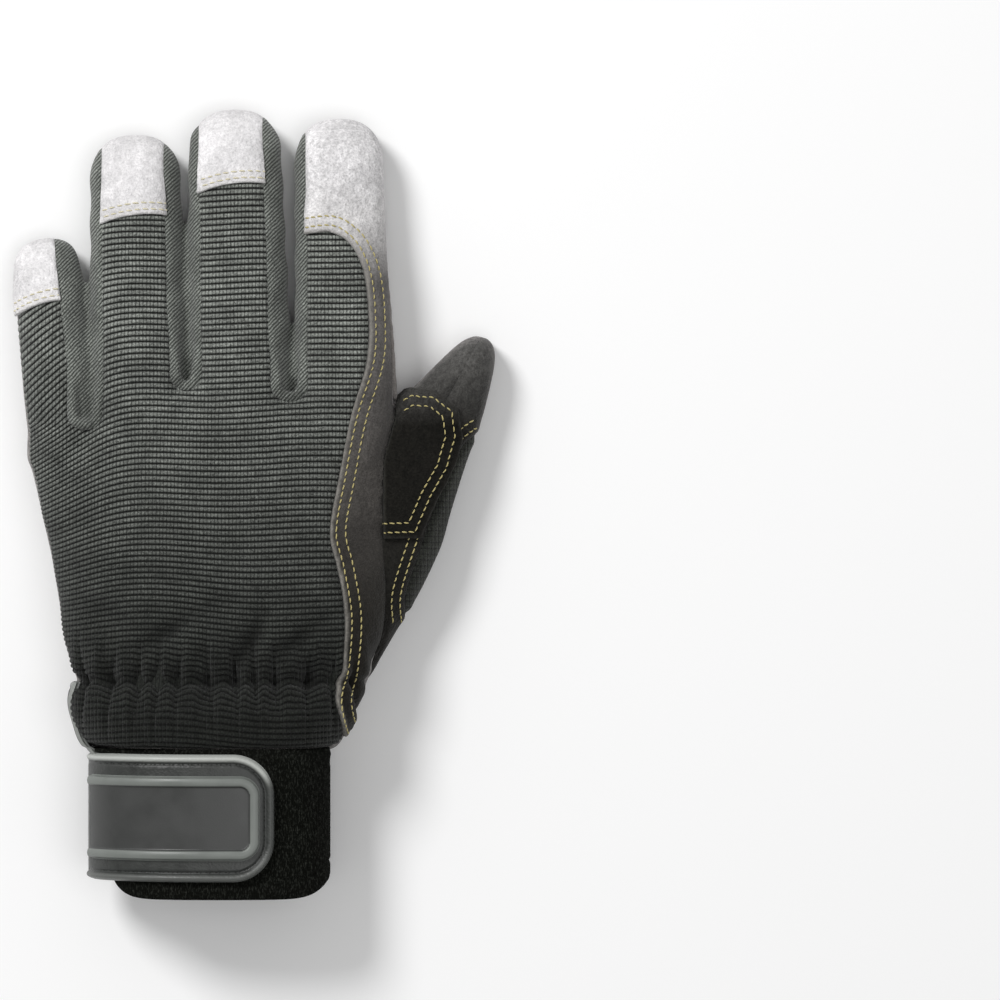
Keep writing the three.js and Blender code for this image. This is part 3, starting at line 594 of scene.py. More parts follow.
class Look:
    """A material and the short calls that build its nodes."""

    def __init__(self, name, roughness, sheen=0.0, sheen_tint="#ffffff", specular=0.3, coat=0.0):
        self.made = bpy.data.materials.new(name)
        self.made.use_nodes = True
        self.tree = self.made.node_tree
        self.shader = self.tree.nodes["Principled BSDF"]
        self.set(self.shader, {"Roughness": roughness, "Sheen Weight": sheen, "Sheen Roughness": 0.5,
                               "Sheen Tint": linear(sheen_tint), "Specular IOR Level": specular,
                               "Coat Weight": coat, "Coat Roughness": 0.3})
        self.place = self.node("ShaderNodeTexCoord").outputs["Object"]

    def set(self, node, inputs):
        for name, value in inputs.items():
            if isinstance(value, bpy.types.NodeSocket):
                self.tree.links.new(value, node.inputs[name])
            else:
                node.inputs[name].default_value = value

    def node(self, kind, inputs=None, **options):
        node = self.tree.nodes.new(kind)
        for name, value in options.items():
            setattr(node, name, value)
        self.set(node, inputs or {})
        return node

    def stretched(self, x=1.0, y=1.0, z=1.0, turn=0.0):
        return self.node("ShaderNodeMapping", {"Vector": self.place, "Scale": (x, y, z),
                                               "Rotation": (0, 0, turn)}).outputs[0]

    def noise(self, scale, detail=2.0, place=None, rough=0.5):
        return self.node("ShaderNodeTexNoise", {"Vector": place or self.place, "Scale": scale, "Detail": detail,
                                                "Roughness": rough}).outputs[0]

    def cells(self, scale, place=None):
        return self.node("ShaderNodeTexVoronoi", {"Vector": place or self.place, "Scale": scale}).outputs[0]

    def bands(self, scale, place=None, axis="X", bend=0.0):
        return self.node("ShaderNodeTexWave", {"Vector": place or self.place, "Scale": scale, "Distortion": bend,
                                               "Detail": 1.0}, bands_direction=axis).outputs[1]

    def between(self, value, low, high, first=0.0, last=1.0):
        return self.node("ShaderNodeMapRange", {"Value": value, "From Min": low, "From Max": high,
                                                "To Min": first, "To Max": last}).outputs[0]

    def maths(self, operation, a, b):
        return self.node("ShaderNodeMath", {0: a, 1: b}, operation=operation).outputs[0]

    def along(self, axis):
        return self.node("ShaderNodeSeparateXYZ", {0: self.place}).outputs[axis]

    def graded(self, ends):
        y = self.along(1)
        colour = linear(ends[0][1])
        for (low, _), (high, shade) in zip(ends[:-1], ends[1:]):
            colour = self.blend(self.between(y, low / 1000, high / 1000), colour, shade)
        return colour

    def marked(self, name):
        return self.node("ShaderNodeAttribute", attribute_name=name).outputs["Fac"]

    def scaled(self, colour, by):
        return self.blend(1.0, colour, by, "MULTIPLY")

    def blend(self, share, a, b, kind="MIX"):
        mixed = self.node("ShaderNodeMix", data_type="RGBA", blend_type=kind)
        self.set_slot(mixed, 0, share)
        self.set_slot(mixed, 6, linear(a) if isinstance(a, str) else a)
        self.set_slot(mixed, 7, linear(b) if isinstance(b, str) else b)
        return mixed.outputs[2]

    def set_slot(self, node, number, value):
        if isinstance(value, bpy.types.NodeSocket):
            self.tree.links.new(value, node.inputs[number])
        else:
            node.inputs[number].default_value = value

    def finish(self, colour, height=None, reach=0.0002, strength=1.0, rough=None):
        self.set(self.shader, {"Base Color": colour})
        if rough is not None:
            self.set(self.shader, {"Roughness": rough})
        if height is not None:
            bump = self.node("ShaderNodeBump", {"Height": height, "Distance": reach, "Strength": strength})
            self.set(self.shader, {"Normal": bump.outputs[0]})
        return self.made


def suede(name, ends, raw, grain=0.5, sheen=0.2, top=None):
    """Brushed suede. ends are pairs of a place along the glove and a colour, top the same for its upper side, painted
    darker there as shade.
    """
    look = Look(name, 0.95, sheen=sheen, specular=0.1)
    nap = look.noise(1500, 3, rough=0.7)
    clump = look.noise(620, 3, look.stretched(1, 0.75, 1, 0.4), 0.7)
    patchy = look.noise(75, 3)
    colour = look.graded(ends)
    if top:
        # Painted shade: the upper side takes the darker top colours.
        colour = look.blend(look.between(look.along(2), 0.006, 0.015), colour, look.graded(top))
    colour = look.scaled(colour, look.between(patchy, 0.3, 0.7, 0.8, 1.15))
    colour = look.scaled(colour, look.between(nap, 0.32, 0.68, 1 - grain, 1 + grain))
    colour = look.scaled(colour, look.between(clump, 0.32, 0.68, 1 - 0.8 * grain, 1 + 0.8 * grain))
    frayed = look.maths("MULTIPLY", look.marked("edge"), look.between(clump, 0.3, 0.7, 0.35, 1.0))
    colour = look.blend(frayed, colour, raw)
    height = look.maths("ADD", nap, look.maths("MULTIPLY", clump, 1.5))
    return look.finish(colour, height, 0.00045, 0.9)


def knit(name, colours, ribbed=0.0):
    """Ribbed knit. The ribs are modelled; their yarn and columns of stitches are drawn here. The third colour is
    painted shade.
    """
    look = Look(name, 0.9, sheen=0.1, specular=0.15)
    waver = look.noise(170, 1)
    x = look.maths("ADD", look.along(0), look.between(waver, 0, 1, -0.0003, 0.0003))
    column = look.maths("ABSOLUTE", look.maths("SINE", look.maths("MULTIPLY", x, math.pi / 0.00115), 0.0), 0.0)
    gap = look.between(column, 0.0, 0.6, 1.0, 0.0)
    fibre = look.noise(1700, 3, rough=0.75)
    worn = look.noise(110, 3)
    y = look.along(1)
    # Painted shade: the knit is coloured darker towards the wrist and lighter towards the fingers, as the light falls.
    colour = look.blend(look.between(y, -0.055, 0.055), colours[0], colours[1])
    colour = look.scaled(colour, look.between(worn, 0.3, 0.7, 0.8, 1.25))
    colour = look.scaled(colour, look.between(fibre, 0.3, 0.7, 0.2, 2.1))
    # Painted shade: the near-black third colour darkens the gaps between stitch columns, the rib grooves and the fold
    # valleys.
    colour = look.blend(look.maths("MULTIPLY", gap, 0.6), colour, colours[2])
    colour = look.blend(look.between(look.marked("groove"), 0.0, 0.75, 0.0, 0.98), colour, colours[2])
    colour = look.blend(look.maths("MULTIPLY", look.marked("fold"), 0.75), colour, colours[2])
    height = look.maths("ADD", look.maths("MULTIPLY", gap, -0.9), look.maths("MULTIPLY", fibre, 1.6))
    if ribbed:
        rib = look.maths("ABSOLUTE", look.maths("SINE", look.maths("MULTIPLY", y, math.pi / 0.00185), 0.0), 0.0)
        height = look.maths("ADD", height, look.maths("MULTIPLY", rib, ribbed))
        # Painted shade in the grooves between the drawn ribs.
        colour = look.blend(look.between(rib, 0.0, 0.4, 0.8, 0.0), colour, colours[2])
    return look.finish(colour, height, 0.0003, 0.9)


def twill(name, colour, dark):
    look = Look(name, 0.92, sheen=0.25, specular=0.15)
    twist = look.bands(350, look.stretched(1, 1, 1, 0.75), "X", 1.5)
    fibre = look.noise(1700, 3, rough=0.75)
    worn = look.noise(110, 3)
    tint = look.blend(look.between(twist, 0.2, 0.8, 0.0, 1.0), dark, colour)
    tint = look.scaled(tint, look.between(fibre, 0.3, 0.7, 0.3, 1.9))
    tint = look.scaled(tint, look.between(worn, 0.3, 0.7, 0.8, 1.2))
    height = look.maths("ADD", twist, look.maths("MULTIPLY", fibre, 1.2))
    return look.finish(tint, height, 0.00022, 0.8)


def elastic(name, colour, light):
    look = Look(name, 0.9, sheen=0.0, specular=0.08)
    fibre = look.noise(2200, 2, look.stretched(1, 0.35, 1), 0.7)
    rows = look.bands(360, None, "Y", 1.0)
    tint = look.blend(look.between(fibre, 0.5, 0.75, 0.0, 0.7), colour, light)
    return look.finish(tint, look.maths("ADD", fibre, look.maths("MULTIPLY", rows, 0.5)), 0.00016, 0.7)


def leather(name, colour, highlight_and_pale_edge):
    look = Look(name, 0.42, specular=0.5)
    grain = look.cells(1300)
    fine = look.noise(3000, 2)
    worn = look.noise(260, 4)
    tint = look.scaled(linear(colour), look.between(worn, 0.3, 0.7, 0.75, 1.25))
    # The pale edge colour is the strap's painted highlight and the tab's pale edge.
    tint = look.blend(look.marked("edge"), tint, highlight_and_pale_edge)
    return look.finish(tint, look.maths("ADD", grain, look.maths("MULTIPLY", fine, 0.4)), 0.00016, 0.5,
                       look.between(worn, 0.3, 0.7, 0.36, 0.5))


def moulded(name, colour, rim_colour):
    look = Look(name, 0.4, specular=0.5)
    fine = look.noise(2500, 2)
    smear = look.noise(120, 3)
    tint = look.blend(look.marked("edge"), colour, rim_colour)
    tint = look.scaled(tint, look.between(smear, 0.3, 0.7, 0.92, 1.08))
    return look.finish(tint, fine, 0.00006, 0.4, look.between(smear, 0.3, 0.7, 0.34, 0.5))


def yarn(name, colour, dark):
    look = Look(name, 0.6, sheen=0.1, specular=0.3)
    twist = look.bands(900, look.stretched(1, 1, 1, 0.8), "X")
    return look.finish(look.blend(look.between(twist, 0.1, 0.8), dark, colour), twist, 0.00008, 0.5)


# Each knit's colours: wrist end, finger end and a near-black painted shade. The back's dark wrist end is painted shade
# too.
KNIT = knit("rib knit", ("#20221f", "#7d807b", "#050604"))
INSERT_KNIT = knit("rib knit of the thumb", ("#2a2c28", "#33352f", "#050504"), 1.6)
PALE = suede("pale suede", [(-200, "#e0dedf"), (200, "#e0dedf")], "#e6e4e2", 0.16, 0.1)
# Painted shade: the side panel's pale suede is coloured darker towards the wrist, near black at its lower end, where
# the side lies in shade.
SHADED_SIDE_SUEDE = suede("side suede", [(-80, "#181714"), (-35, "#25231f"), (10, "#514e4b"), (40, "#615e5c"), (70, "#6e6b69"),
                                  (90, "#d4d2d2"), (104, "#dcdadb")], "#8f8c86", 0.24, 0.1)
GREY = suede("grey suede", [(-90, "#73706e"), (0, "#8b8785"), (90, "#817d7b")], "#a19c98", 0.34)
# Painted shade on the thumb's upper side, darkest towards its base.
THUMB_TOP_SHADE = [(22, "#1f1e1b"), (42, "#4f4e4c"), (70, "#5a5958")]
THUMB_SUEDE = suede("thumb suede", [(-90, "#85817f"), (0, "#a19d9b")], "#a8a4a0", 0.34, 0.1, THUMB_TOP_SHADE)
THUMB_BACK = suede("outer thumb suede", [(-90, "#5f5c5a"), (40, "#767371")], "#6b6866", 0.34, 0.1, THUMB_TOP_SHADE)
DARK = suede("dark suede", [(-90, "#151411"), (24, "#191815"), (44, "#4f4e4c")], "#33322e", 0.4, 0.05)
TWILL = twill("gusset twill", "#7c7f7a", "#3c3f3b")
ELASTIC = elastic("woven elastic", "#070805", "#3a3c37")
# Painted highlight: the pale third colour lights the strap's upper edge bead; on the tab it is a pale edge.
LEATHER = leather("coated strap leather", "#2e302e", "#b0b3ae")
RUBBER = moulded("moulded rubber", "#373837", "#707470")
THREAD = yarn("polyester thread", "#d2c68c", "#8d8049")
PALE_THREAD = yarn("pale polyester thread", "#ece6cf", "#b9b08a")
BLACK_THREAD = yarn("black thread", "#181917", "#090909")

SLOTS = {
    "back_panel": "rib_knit", "thumb_knit_insert": "rib_knit", "palm_panel": "grey_suede",
    "palm_patch": "grey_suede", "index_patch": "grey_suede", "thumb_inner_panel": "grey_suede",
    "fork_patch": "dark_suede", "thumb_outer_panel": "dark_suede", "index_side_panel": "pale_suede",
    "little_cap": "pale_suede", "ring_cap": "pale_suede", "middle_cap": "pale_suede",
    "little_ring_gusset": "gusset_twill", "ring_middle_gusset": "gusset_twill",
    "middle_index_gusset": "gusset_twill", "cuff": "woven_elastic", "strap": "strap_leather",
    "strap_tab": "strap_leather", "strap_plate": "moulded_label",
}
LOOKS = {
    "rib_knit": KNIT, "grey_suede": GREY, "dark_suede": DARK, "pale_suede": PALE, "gusset_twill": TWILL,
    "woven_elastic": ELASTIC, "strap_leather": LEATHER, "moulded_label": RUBBER,
}
OWN_LOOKS = {"index_side_panel": SHADED_SIDE_SUEDE, "thumb_knit_insert": INSERT_KNIT, "thumb_inner_panel": THUMB_SUEDE,
             "thumb_outer_panel": THUMB_BACK}
built = {}


def mark(piece, name, values):
    piece.data.attributes.new(name, "FLOAT", "POINT").data.foreach_set("value", np.asarray(values, np.float32))


def add(node, points, faces, marks=None):
    """Makes the dressed piece of one solid. marks are values on its points that its material reads."""
    points[:, 2] = np.maximum(points[:, 2], 0.04)
    piece = new_piece(node + "_dressed", points, faces, OWN_LOOKS.get(node, LOOKS[SLOTS[node]]))
    for name, values in (marks or {}).items():
        mark(piece, name, np.r_[values, np.zeros(len(points) - len(values))])
    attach(piece, "root")
    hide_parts(node)
    built[node] = BVHTree.FromPolygons(points.tolist(), faces.tolist())
    return piece


# ---------------------------------------------------------------- panels of the glove
RIB = 1.85
RIB_STEPS = np.array([0.0, 0.32, 0.68])
GATHERS_Y = 68.3
DENTS = [
    # plan middle, length, width, turn in degrees, depth
    (-27, 84, 10, 3.2, 30, 2.2), (-1, 80, 12, 3.4, 62, 2.6), (15, 82, 13, 3.6, 38, 2.3), (-44, 90, 9, 3.5, -20, 1.6),
    (-10, 94, 12, 4.0, 12, 1.2), (21, 72, 9, 3.0, 60, 1.6), (-56, 118, 9, 3.2, 20, 1.0), (-16, 76, 7, 2.4, 75, 1.4),
]


def fold_turn(x, y):
    return (x + 52.5 + 1.6 * np.sin(0.21 * x) + 0.11 * (y - GATHERS_Y) * np.sin(0.9 * x)) / 7.7


def rib_place(x, y):
    """Where a point lies across the ribs, counted in ribs."""
    left = 5 * np.log1p(np.exp((-x - 46) / 5)) * np.interp(y, [80, 150, 210], [0.05, 0.8, 0.35])
    right = 0.05 * np.maximum(0, x - 5) * smooth((y - 120) / 40)
    gather = np.exp(-((y - GATHERS_Y - 1) / 9) ** 2)
    wave = 0.75 * gather * np.cos(2 * np.pi * fold_turn(x, y))
    slow = 1.2 * np.sin(0.055 * x + 0.6) * (1 - smooth((y - 90) / 30)) + 0.5 * np.sin(0.11 * x + 0.02 * y)
    return (y + left - right + wave + slow) / RIB


def relief(p):
    """Folds, gathers and dents of the whole hand, as a height over the skin."""
    x, y, z = p.T
    top = smooth((z - 15) / 9)
    fold = np.abs(np.sin(np.pi * fold_turn(x, y))) ** 0.7 - 0.6
    above = np.where(y > GATHERS_Y, np.exp(-((y - GATHERS_Y) / 9) ** 2), np.exp(-((y - GATHERS_Y) / 12) ** 2))
    pinch = -1.9 * np.exp(-((y - GATHERS_Y) / 1.7) ** 2)
    puff = 1.3 * np.exp(-((y - 57.0) / 5.5) ** 2) - 1.4 * (1 - smooth((y - 46) / 4.5))
    high = top * (3.0 * above * fold + pinch + puff)
    for dx, dy, length, width, turn, deep in DENTS:
        a = math.radians(turn)
        u = (x - dx) * math.cos(a) + (y - dy) * math.sin(a)
        v = -(x - dx) * math.sin(a) + (y - dy) * math.cos(a)
        high = high - top * deep * np.exp(-(u / length) ** 2 - (v / width) ** 2)
    soft = 0.5 * np.sin(0.19 * x + 0.7) * np.sin(0.13 * y + 0.045 * x) + 0.35 * np.sin(0.31 * y - 0.12 * x)
    return high + 0.45 * soft * top * smooth((y - 70) / 20)


def rib_target(number):
    whole = np.floor(number / 3)
    return whole + RIB_STEPS[(number - 3 * whole).astype(int)]


def rib_number(u):
    whole = np.floor(u)
    return 3 * whole + np.interp(u - whole, [*RIB_STEPS, 1], [0, 1, 2, 3])


def in_rows(data, faces, column=6):
    """Adds edges along the ribs' grooves and shoulders. The column of data counts the ribs."""
    for spacing, offset in ((8, 0), (8, 4), (4, 2), (2, 1)):
        u = data[:, column]
        level = (rib_number(u) - offset) / spacing
        of_face = level[faces]
        target = np.floor(of_face.max(1) - 1e-3)
        crossing = target > of_face.min(1) + 1e-3
        t = faces[crossing]
        inside = of_face[crossing] > target[crossing][:, None]
        row = np.arange(len(t))
        lone = np.where(inside.sum(1) == 1, np.argmax(inside, 1), np.argmin(inside, 1))
        a, b, c = t[row, lone], t[row, (lone + 1) % 3], t[row, (lone + 2) % 3]
        edges = np.sort(np.concatenate([np.stack([a, b], 1), np.stack([a, c], 1)]), 1)
        aim = rib_target(target[crossing] * spacing + offset)
        key, first, back = np.unique(edges[:, 0] * len(data) + edges[:, 1], return_index=True, return_inverse=True)
        i, j = key // len(data), key % len(data)
        w = np.clip((u[i] - np.r_[aim, aim][first]) / (u[i] - u[j]), 0, 1)[:, None]
        count = len(data)
        data = np.vstack([data, data[i] * (1 - w) + data[j] * w])
        ab, ac = count + back[:len(t)], count + back[len(t):]
        faces = np.vstack([faces[~crossing], np.stack([a, ab, ac], 1), np.stack([ab, b, c], 1),
                           np.stack([ab, c, ac], 1)])
    return data, faces


def past_tips(p):
    """1 at the ends of the fingers and thumb, 0 elsewhere."""
    x, y = p[:, 0], p[:, 1]
    middles = np.array([FINGERS[name][0] * HAND_WIDTH - math.tan(math.radians(FINGERS[name][1])) * FINGERS[name][2]
                        for name in FINGERS])
    ends = KNUCKLE_Y + np.array([finger[2] for finger in FINGERS.values()])
    nearest = np.argmin(np.abs(x[:, None] - middles), 1)
    at, _ = thumb_place(p)
    return np.where(x < 44, smooth((y - ends[nearest] + 9) / 7), smooth((at - 0.84) / 0.12))


def near(marks, outline, reach=0.25):
    return marks[np.abs(depth_in(outline, marks[:, 0], marks[:, 1])) < reach]


def thinned(piece, first, share):
    """Merges triangles of the hidden lining, the points from first on, until a share of them all is left."""
    lining = piece.vertex_groups.new(name="lining")
    lining.add(list(range(first, len(piece.data.vertices))), 1.0, "REPLACE")
    thin = piece.modifiers.new("thin", "DECIMATE")
    thin.vertex_group, thin.ratio = lining.name, share
    shown = piece.evaluated_get(bpy.context.evaluated_depsgraph_get())
    mesh = bpy.data.meshes.new_from_object(shown)
    piece.modifiers.clear()
    piece.vertex_groups.clear()
    piece.data = mesh


def dress_back(part, faces):
    """The knitted back, with every rib."""
    points, out = part[:, :3], part[:, 3:]
    inner = points + out * (relief(points) - 1.6)[:, None]
    rows, row_faces = in_rows(np.hstack([part, rib_place(points[:, 0], points[:, 1])[:, None]]), faces)
    spot, way, u = rows[:, :3], rows[:, 3:6], rows[:, 6]
    far = distance_to(spot, rim_marks(points, faces))
    share = u - np.floor(u + 1e-6)
    groove = np.clip(1 - np.minimum(share, 1 - share) / RIB_STEPS[1], 0, 1)
    outer = -0.55 * (1 - smooth(far / 1.7)) - 0.5 * groove + relief(spot)
    top = spot + way * outer[:, None]
    edges = rim(row_faces)
    skirt = spot[edges[:, 0]] + way[edges[:, 0]] * (relief(spot[edges[:, 0]]) - 1.6)[:, None]
    skirt_b = spot[edges[:, 1]] + way[edges[:, 1]] * (relief(spot[edges[:, 1]]) - 1.6)[:, None]
    n, m = len(top), len(edges)
    low = n + np.arange(m)
    low_b = n + m + np.arange(m)
    side = np.vstack([np.stack([edges[:, 1], edges[:, 0], low], 1), np.stack([edges[:, 1], low, low_b], 1)])
    points_all = np.vstack([top, skirt, skirt_b, inner])
    faces_all = np.vstack([row_faces, side, faces[:, ::-1] + n + 2 * m])
    # The groove and fold marks tell the knit where to paint shade: in the rib grooves and in the fold valleys.
    piece = add("back_panel", points_all, faces_all, {"groove": groove, "fold": smooth((-0.2 - relief(spot)) / 2.8)})
    thinned(piece, n + 2 * m, 0.83)


def dress_panel(node, part, faces):
    points, out = part[:, :3], part[:, 3:]
    marks = rim_marks(points, faces)
    thick, edge = 1.5, np.zeros(len(points))
    flat = 1 - 0.75 * past_tips(points)
    if node in ("index_side_panel", "little_cap", "ring_cap", "middle_cap"):
        outline = SIDE if node == "index_side_panel" else CAPS[node.split("_")[0]]
        lap = near(marks, outline)
        if node == "index_side_panel":
            lap = lap[(lap[:, 2] > seam_height(lap[:, 1]) + 1) & (lap[:, 0] < 42)]
        sewn = marks[distance_to(marks, lap) > 0.8]
        far_lap, far = distance_to(points, lap), distance_to(points, sewn)
        outer = 1.0 * (1 - smooth((far_lap - 2) / 14)) - 0.5 * flat * (1 - smooth(far / 1.6))
        for row in (1.9, 4.8):
            outer -= 0.28 * np.exp(-((far_lap - row) / 0.55) ** 2)
        outer -= 0.35 * (1 - smooth(far_lap / 0.5))
        edge = (1 - smooth((far_lap - 0.2) / 0.8)) * (far_lap < 3)
        thick = 2.2
    elif node.endswith("gusset"):
        far = distance_to(points, marks)
        low = min(p[1] for p in OUTLINES[node[:-7]])
        lip = 1 - smooth((points[:, 1] - low - 5) / 13)
        lip *= smooth((points[:, 2] - seam_height(points[:, 1]) + 2) / 4)
        outer = -0.55 * flat * (1 - smooth(far / 1.3)) * (1 - lip)
        outer += lip * (2.1 * smooth(far / 0.9) - 2.1 * smooth((far - 2.0) / 2.2) - 0.2)
        outer += 0.22 * np.sin(0.42 * points[:, 1] + 2 * np.sin(0.3 * points[:, 0])) * (1 - lip) * smooth(far / 3)
    else:
        far = distance_to(points, marks)
        deep = 0.5 if node.startswith("thumb") else 0.75
        outer = -deep * flat * (1 - smooth(far / 1.7)) + 0.2 * flat * np.exp(-((far - 2.6) / 1.4) ** 2)
    outer = outer + relief(points)
    top, all_faces = shell(points, out, faces, outer, outer - thick)
    add(node, top, all_faces, {"edge": edge})


for node, chosen in panel.items():
    part, faces = part_of(data, skin_faces, chosen)
    if node == "back_panel":
        dress_back(part, faces)
    else:
        dress_panel(node, part, faces)


def patch(node, sources, borders, lift=1.7):
    chosen = np.zeros(len(skin_faces), bool)
    for source in sources:
        chosen |= panel[source]
    part, faces = part_of(data, skin_faces, chosen)
    for border in borders:
        part, faces = cut(part, faces, border(part[:, :3]))
    keep = np.ones(len(faces), bool)
    for border in borders:
        keep &= border(part[:, :3])[faces].mean(1) > 0
    part, faces = part_of(part, faces, keep)
    points, out = part[:, :3], part[:, 3:]
    far = distance_to(points, rim_marks(points, faces))
    outer = lift - 0.4 * (1 - smooth(far / 0.6))
    for row in (1.9, 4.8):
        outer -= 0.3 * np.exp(-((far - row) / 0.55) ** 2)
    if node == "palm_patch":
        for line in QUILTING:
            away = plan_distance(line, points[:, 0], points[:, 1])
            outer -= 0.55 * np.exp(-(np.abs(away - 1.45) / 0.7) ** 2) + 0.25 * np.exp(-(away / 4) ** 2)
    top, all_faces = shell(points, out, faces, outer, 0 * outer + 0.1)
    add(node, top, all_faces, {"edge": 1 - smooth((far - 0.1) / 0.7)})


def plan_distance(line, x, y):
    best = np.full(x.shape, 1e9)
    for (ax, ay), (bx, by) in zip(line[:-1], line[1:]):
        dx, dy = bx - ax, by - ay
        t = np.clip(((x - ax) * dx + (y - ay) * dy) / (dx * dx + dy * dy), 0, 1)
        best = np.minimum(best, np.hypot(x - ax - t * dx, y - ay - t * dy))
    return best


def from_palm(points):
    """Plan points from places on the palm's picture, in its 0.31766 mm steps."""
    return np.array([((px - 755.5) * 0.31766, (895 - py) * 0.31766) for px, py in points])


PALM_LINE = curved([on_hand(*p) for p in PALM_PATCH], closed=True, corner=3.0)
INDEX_LINE = curved([on_hand(*p) for p in INDEX_PATCH], closed=True, corner=3.0)
FORK_LINE = curved([on_hand(*p) for p in FORK_PATCH], closed=True, corner=3.0)
QUILTING = [from_palm(line) for line in (
    [(768, 423), (712, 482), (651, 544), (612, 596), (580, 640)],
    [(623, 466), (636, 505), (651, 544), (673, 602), (696, 658)],
)]
patch("palm_patch", ["palm_panel"], [lambda p: depth_in(PALM_LINE, p[:, 0], p[:, 1]), lambda p: 7.9 - p[:, 2]])
patch("index_patch", ["palm_panel"], [lambda p: depth_in(INDEX_LINE, p[:, 0], p[:, 1]),
                                      lambda p: seam_height(p[:, 1]) - 2 - p[:, 2]])
patch("fork_patch", ["thumb_inner_panel", "thumb_outer_panel"],
      [lambda p: depth_in(FORK_LINE, p[:, 0], p[:, 1]), lambda p: p[:, 2] - 9.5])



def grid_faces(rows, columns, around=False):
    number = np.arange(rows * columns).reshape(rows, columns)
    if around:
        a, b, c, d = number[:-1], np.roll(number[:-1], -1, 1), np.roll(number[1:], -1, 1), number[1:]
    else:
        a, b, c, d = number[:-1, :-1], number[:-1, 1:], number[1:, 1:], number[1:, :-1]
    return np.stack([a, b, c, d], -1).reshape(-1, 4)


def cuff():
    columns, rows = 960, 46
    turn = np.linspace(0, 2 * np.pi, 6001)
    across, up = round_square(CUFF_POWER, turn)
    ring = np.stack([across * CUFF_WIDTH / 2, up * CUFF_HEIGHT / 2], 1)
    run = np.r_[0, np.cumsum(np.linalg.norm(np.diff(ring, axis=0), axis=1))]
    at = np.linspace(0, run[-1], columns, endpoint=False)
    turn = np.interp(at, run, turn)
    across, up = round_square(CUFF_POWER, turn)
    weave = 0.18 * np.abs(np.sin(np.pi * np.arange(columns) / 4))

    def rings(shares, inset, bow_on=True):
        out = []
        for share, deep in zip(shares, inset):
            bow = 1 - smooth(share / 0.9)
            y = HEM_BOW * bow - bow * HEM_BOW * (1 - np.abs(across) ** 9) + share * (CUFF_LENGTH + 1.2)
            flare = smooth((share - 0.93) / 0.05) * smooth((np.abs(across) - 0.6) / 0.4)
            x = CUFF_X + across * (CUFF_WIDTH / 2 - deep + flare * np.where(across < 0, 7.5, 0.6))
            z = CUFF_HEIGHT / 2 + up * (CUFF_HEIGHT / 2 - deep + np.where(up < 0, 1, 0))
            out.append(np.stack([x, y + 0 * x, np.maximum(z, deep)], 1))
        return out

    share = np.linspace(0, 1, rows)
    hem = 0.5 * (1 - smooth(share / 0.04)) + 0.45 * np.exp(-((share - 0.13) / 0.012) ** 2)
    hem = hem + 0.9 * smooth((share - 0.945) / 0.05) + 0.4 * np.exp(-((share - 0.9) / 0.01) ** 2)
    outside = rings(share, [d + 0.2 - weave for d in hem])
    share = np.r_[1, 0.95, 0.9, np.linspace(0.8, 0.1, 8), 0.03, 0]
    inside = rings(share, CUFF_WALL + 1.0 * smooth((share - 0.9) / 0.08))
    stack = np.stack(outside + inside + [outside[0]])
    count = len(stack) - 1
    faces = grid_faces(count + 1, columns, True)
    faces = np.where(faces >= count * columns, faces - count * columns, faces)
    add("cuff", stack[:-1].reshape(-1, 3), faces)


cuff()

# ---------------------------------------------------------------- strap, label and tab
STRAP_MID = CUFF_LENGTH - 0.3 - STRAP_WIDTH / 2
STRAP_END = CUFF_X - CUFF_WIDTH / 2 + STRAP_REACH


def strap_point(step, rise):
    """A point of the strap's path and the way out of it. step runs from 0 at the fold to 1."""
    def spot(s, offset):
        a, b = CUFF_WIDTH / 2 + offset, CUFF_HEIGHT / 2 + offset
        across, up = round_square(CUFF_POWER, np.radians(mix(194, 62, s)))
        stand = STRAP_STAND * (1 - smooth(s * 16 / 9))
        return np.stack([CUFF_X + (a + stand) * across, CUFF_HEIGHT / 2 + b * up], -1)

    here = spot(step, 0.5)
    along = spot(step + 1e-3, 0.5) - spot(step - 1e-3, 0.5)
    along /= np.linalg.norm(along, axis=-1)[..., None]
    out = np.stack([-along[..., 1], along[..., 0]], -1)
    return here + out * np.asarray(rise)[..., None]


def closed_sheet(upper, under):
    rows, columns = upper.shape[:2]
    count = rows * columns
    number = np.arange(count).reshape(rows, columns)
    faces = grid_faces(rows, columns)
    border = np.r_[number[0], number[1:, -1], number[-1, -2::-1], number[-2:0:-1, 0]]
    after = np.roll(border, -1)
    side = np.stack([border, border + count, after + count, after], 1)
    return (np.vstack([upper.reshape(-1, 3), under.reshape(-1, 3)]),
            np.vstack([faces[:, ::-1], faces + count, side]))


def strap_end(y, inset, end_inset):
    half, end, corner = STRAP_WIDTH / 2 - inset, STRAP_END - end_inset, max(2, 13 - inset)
    deep = np.clip(corner - (half - np.abs(y - STRAP_MID)), 0, corner)
    return end - corner + np.sqrt(corner ** 2 - deep ** 2)


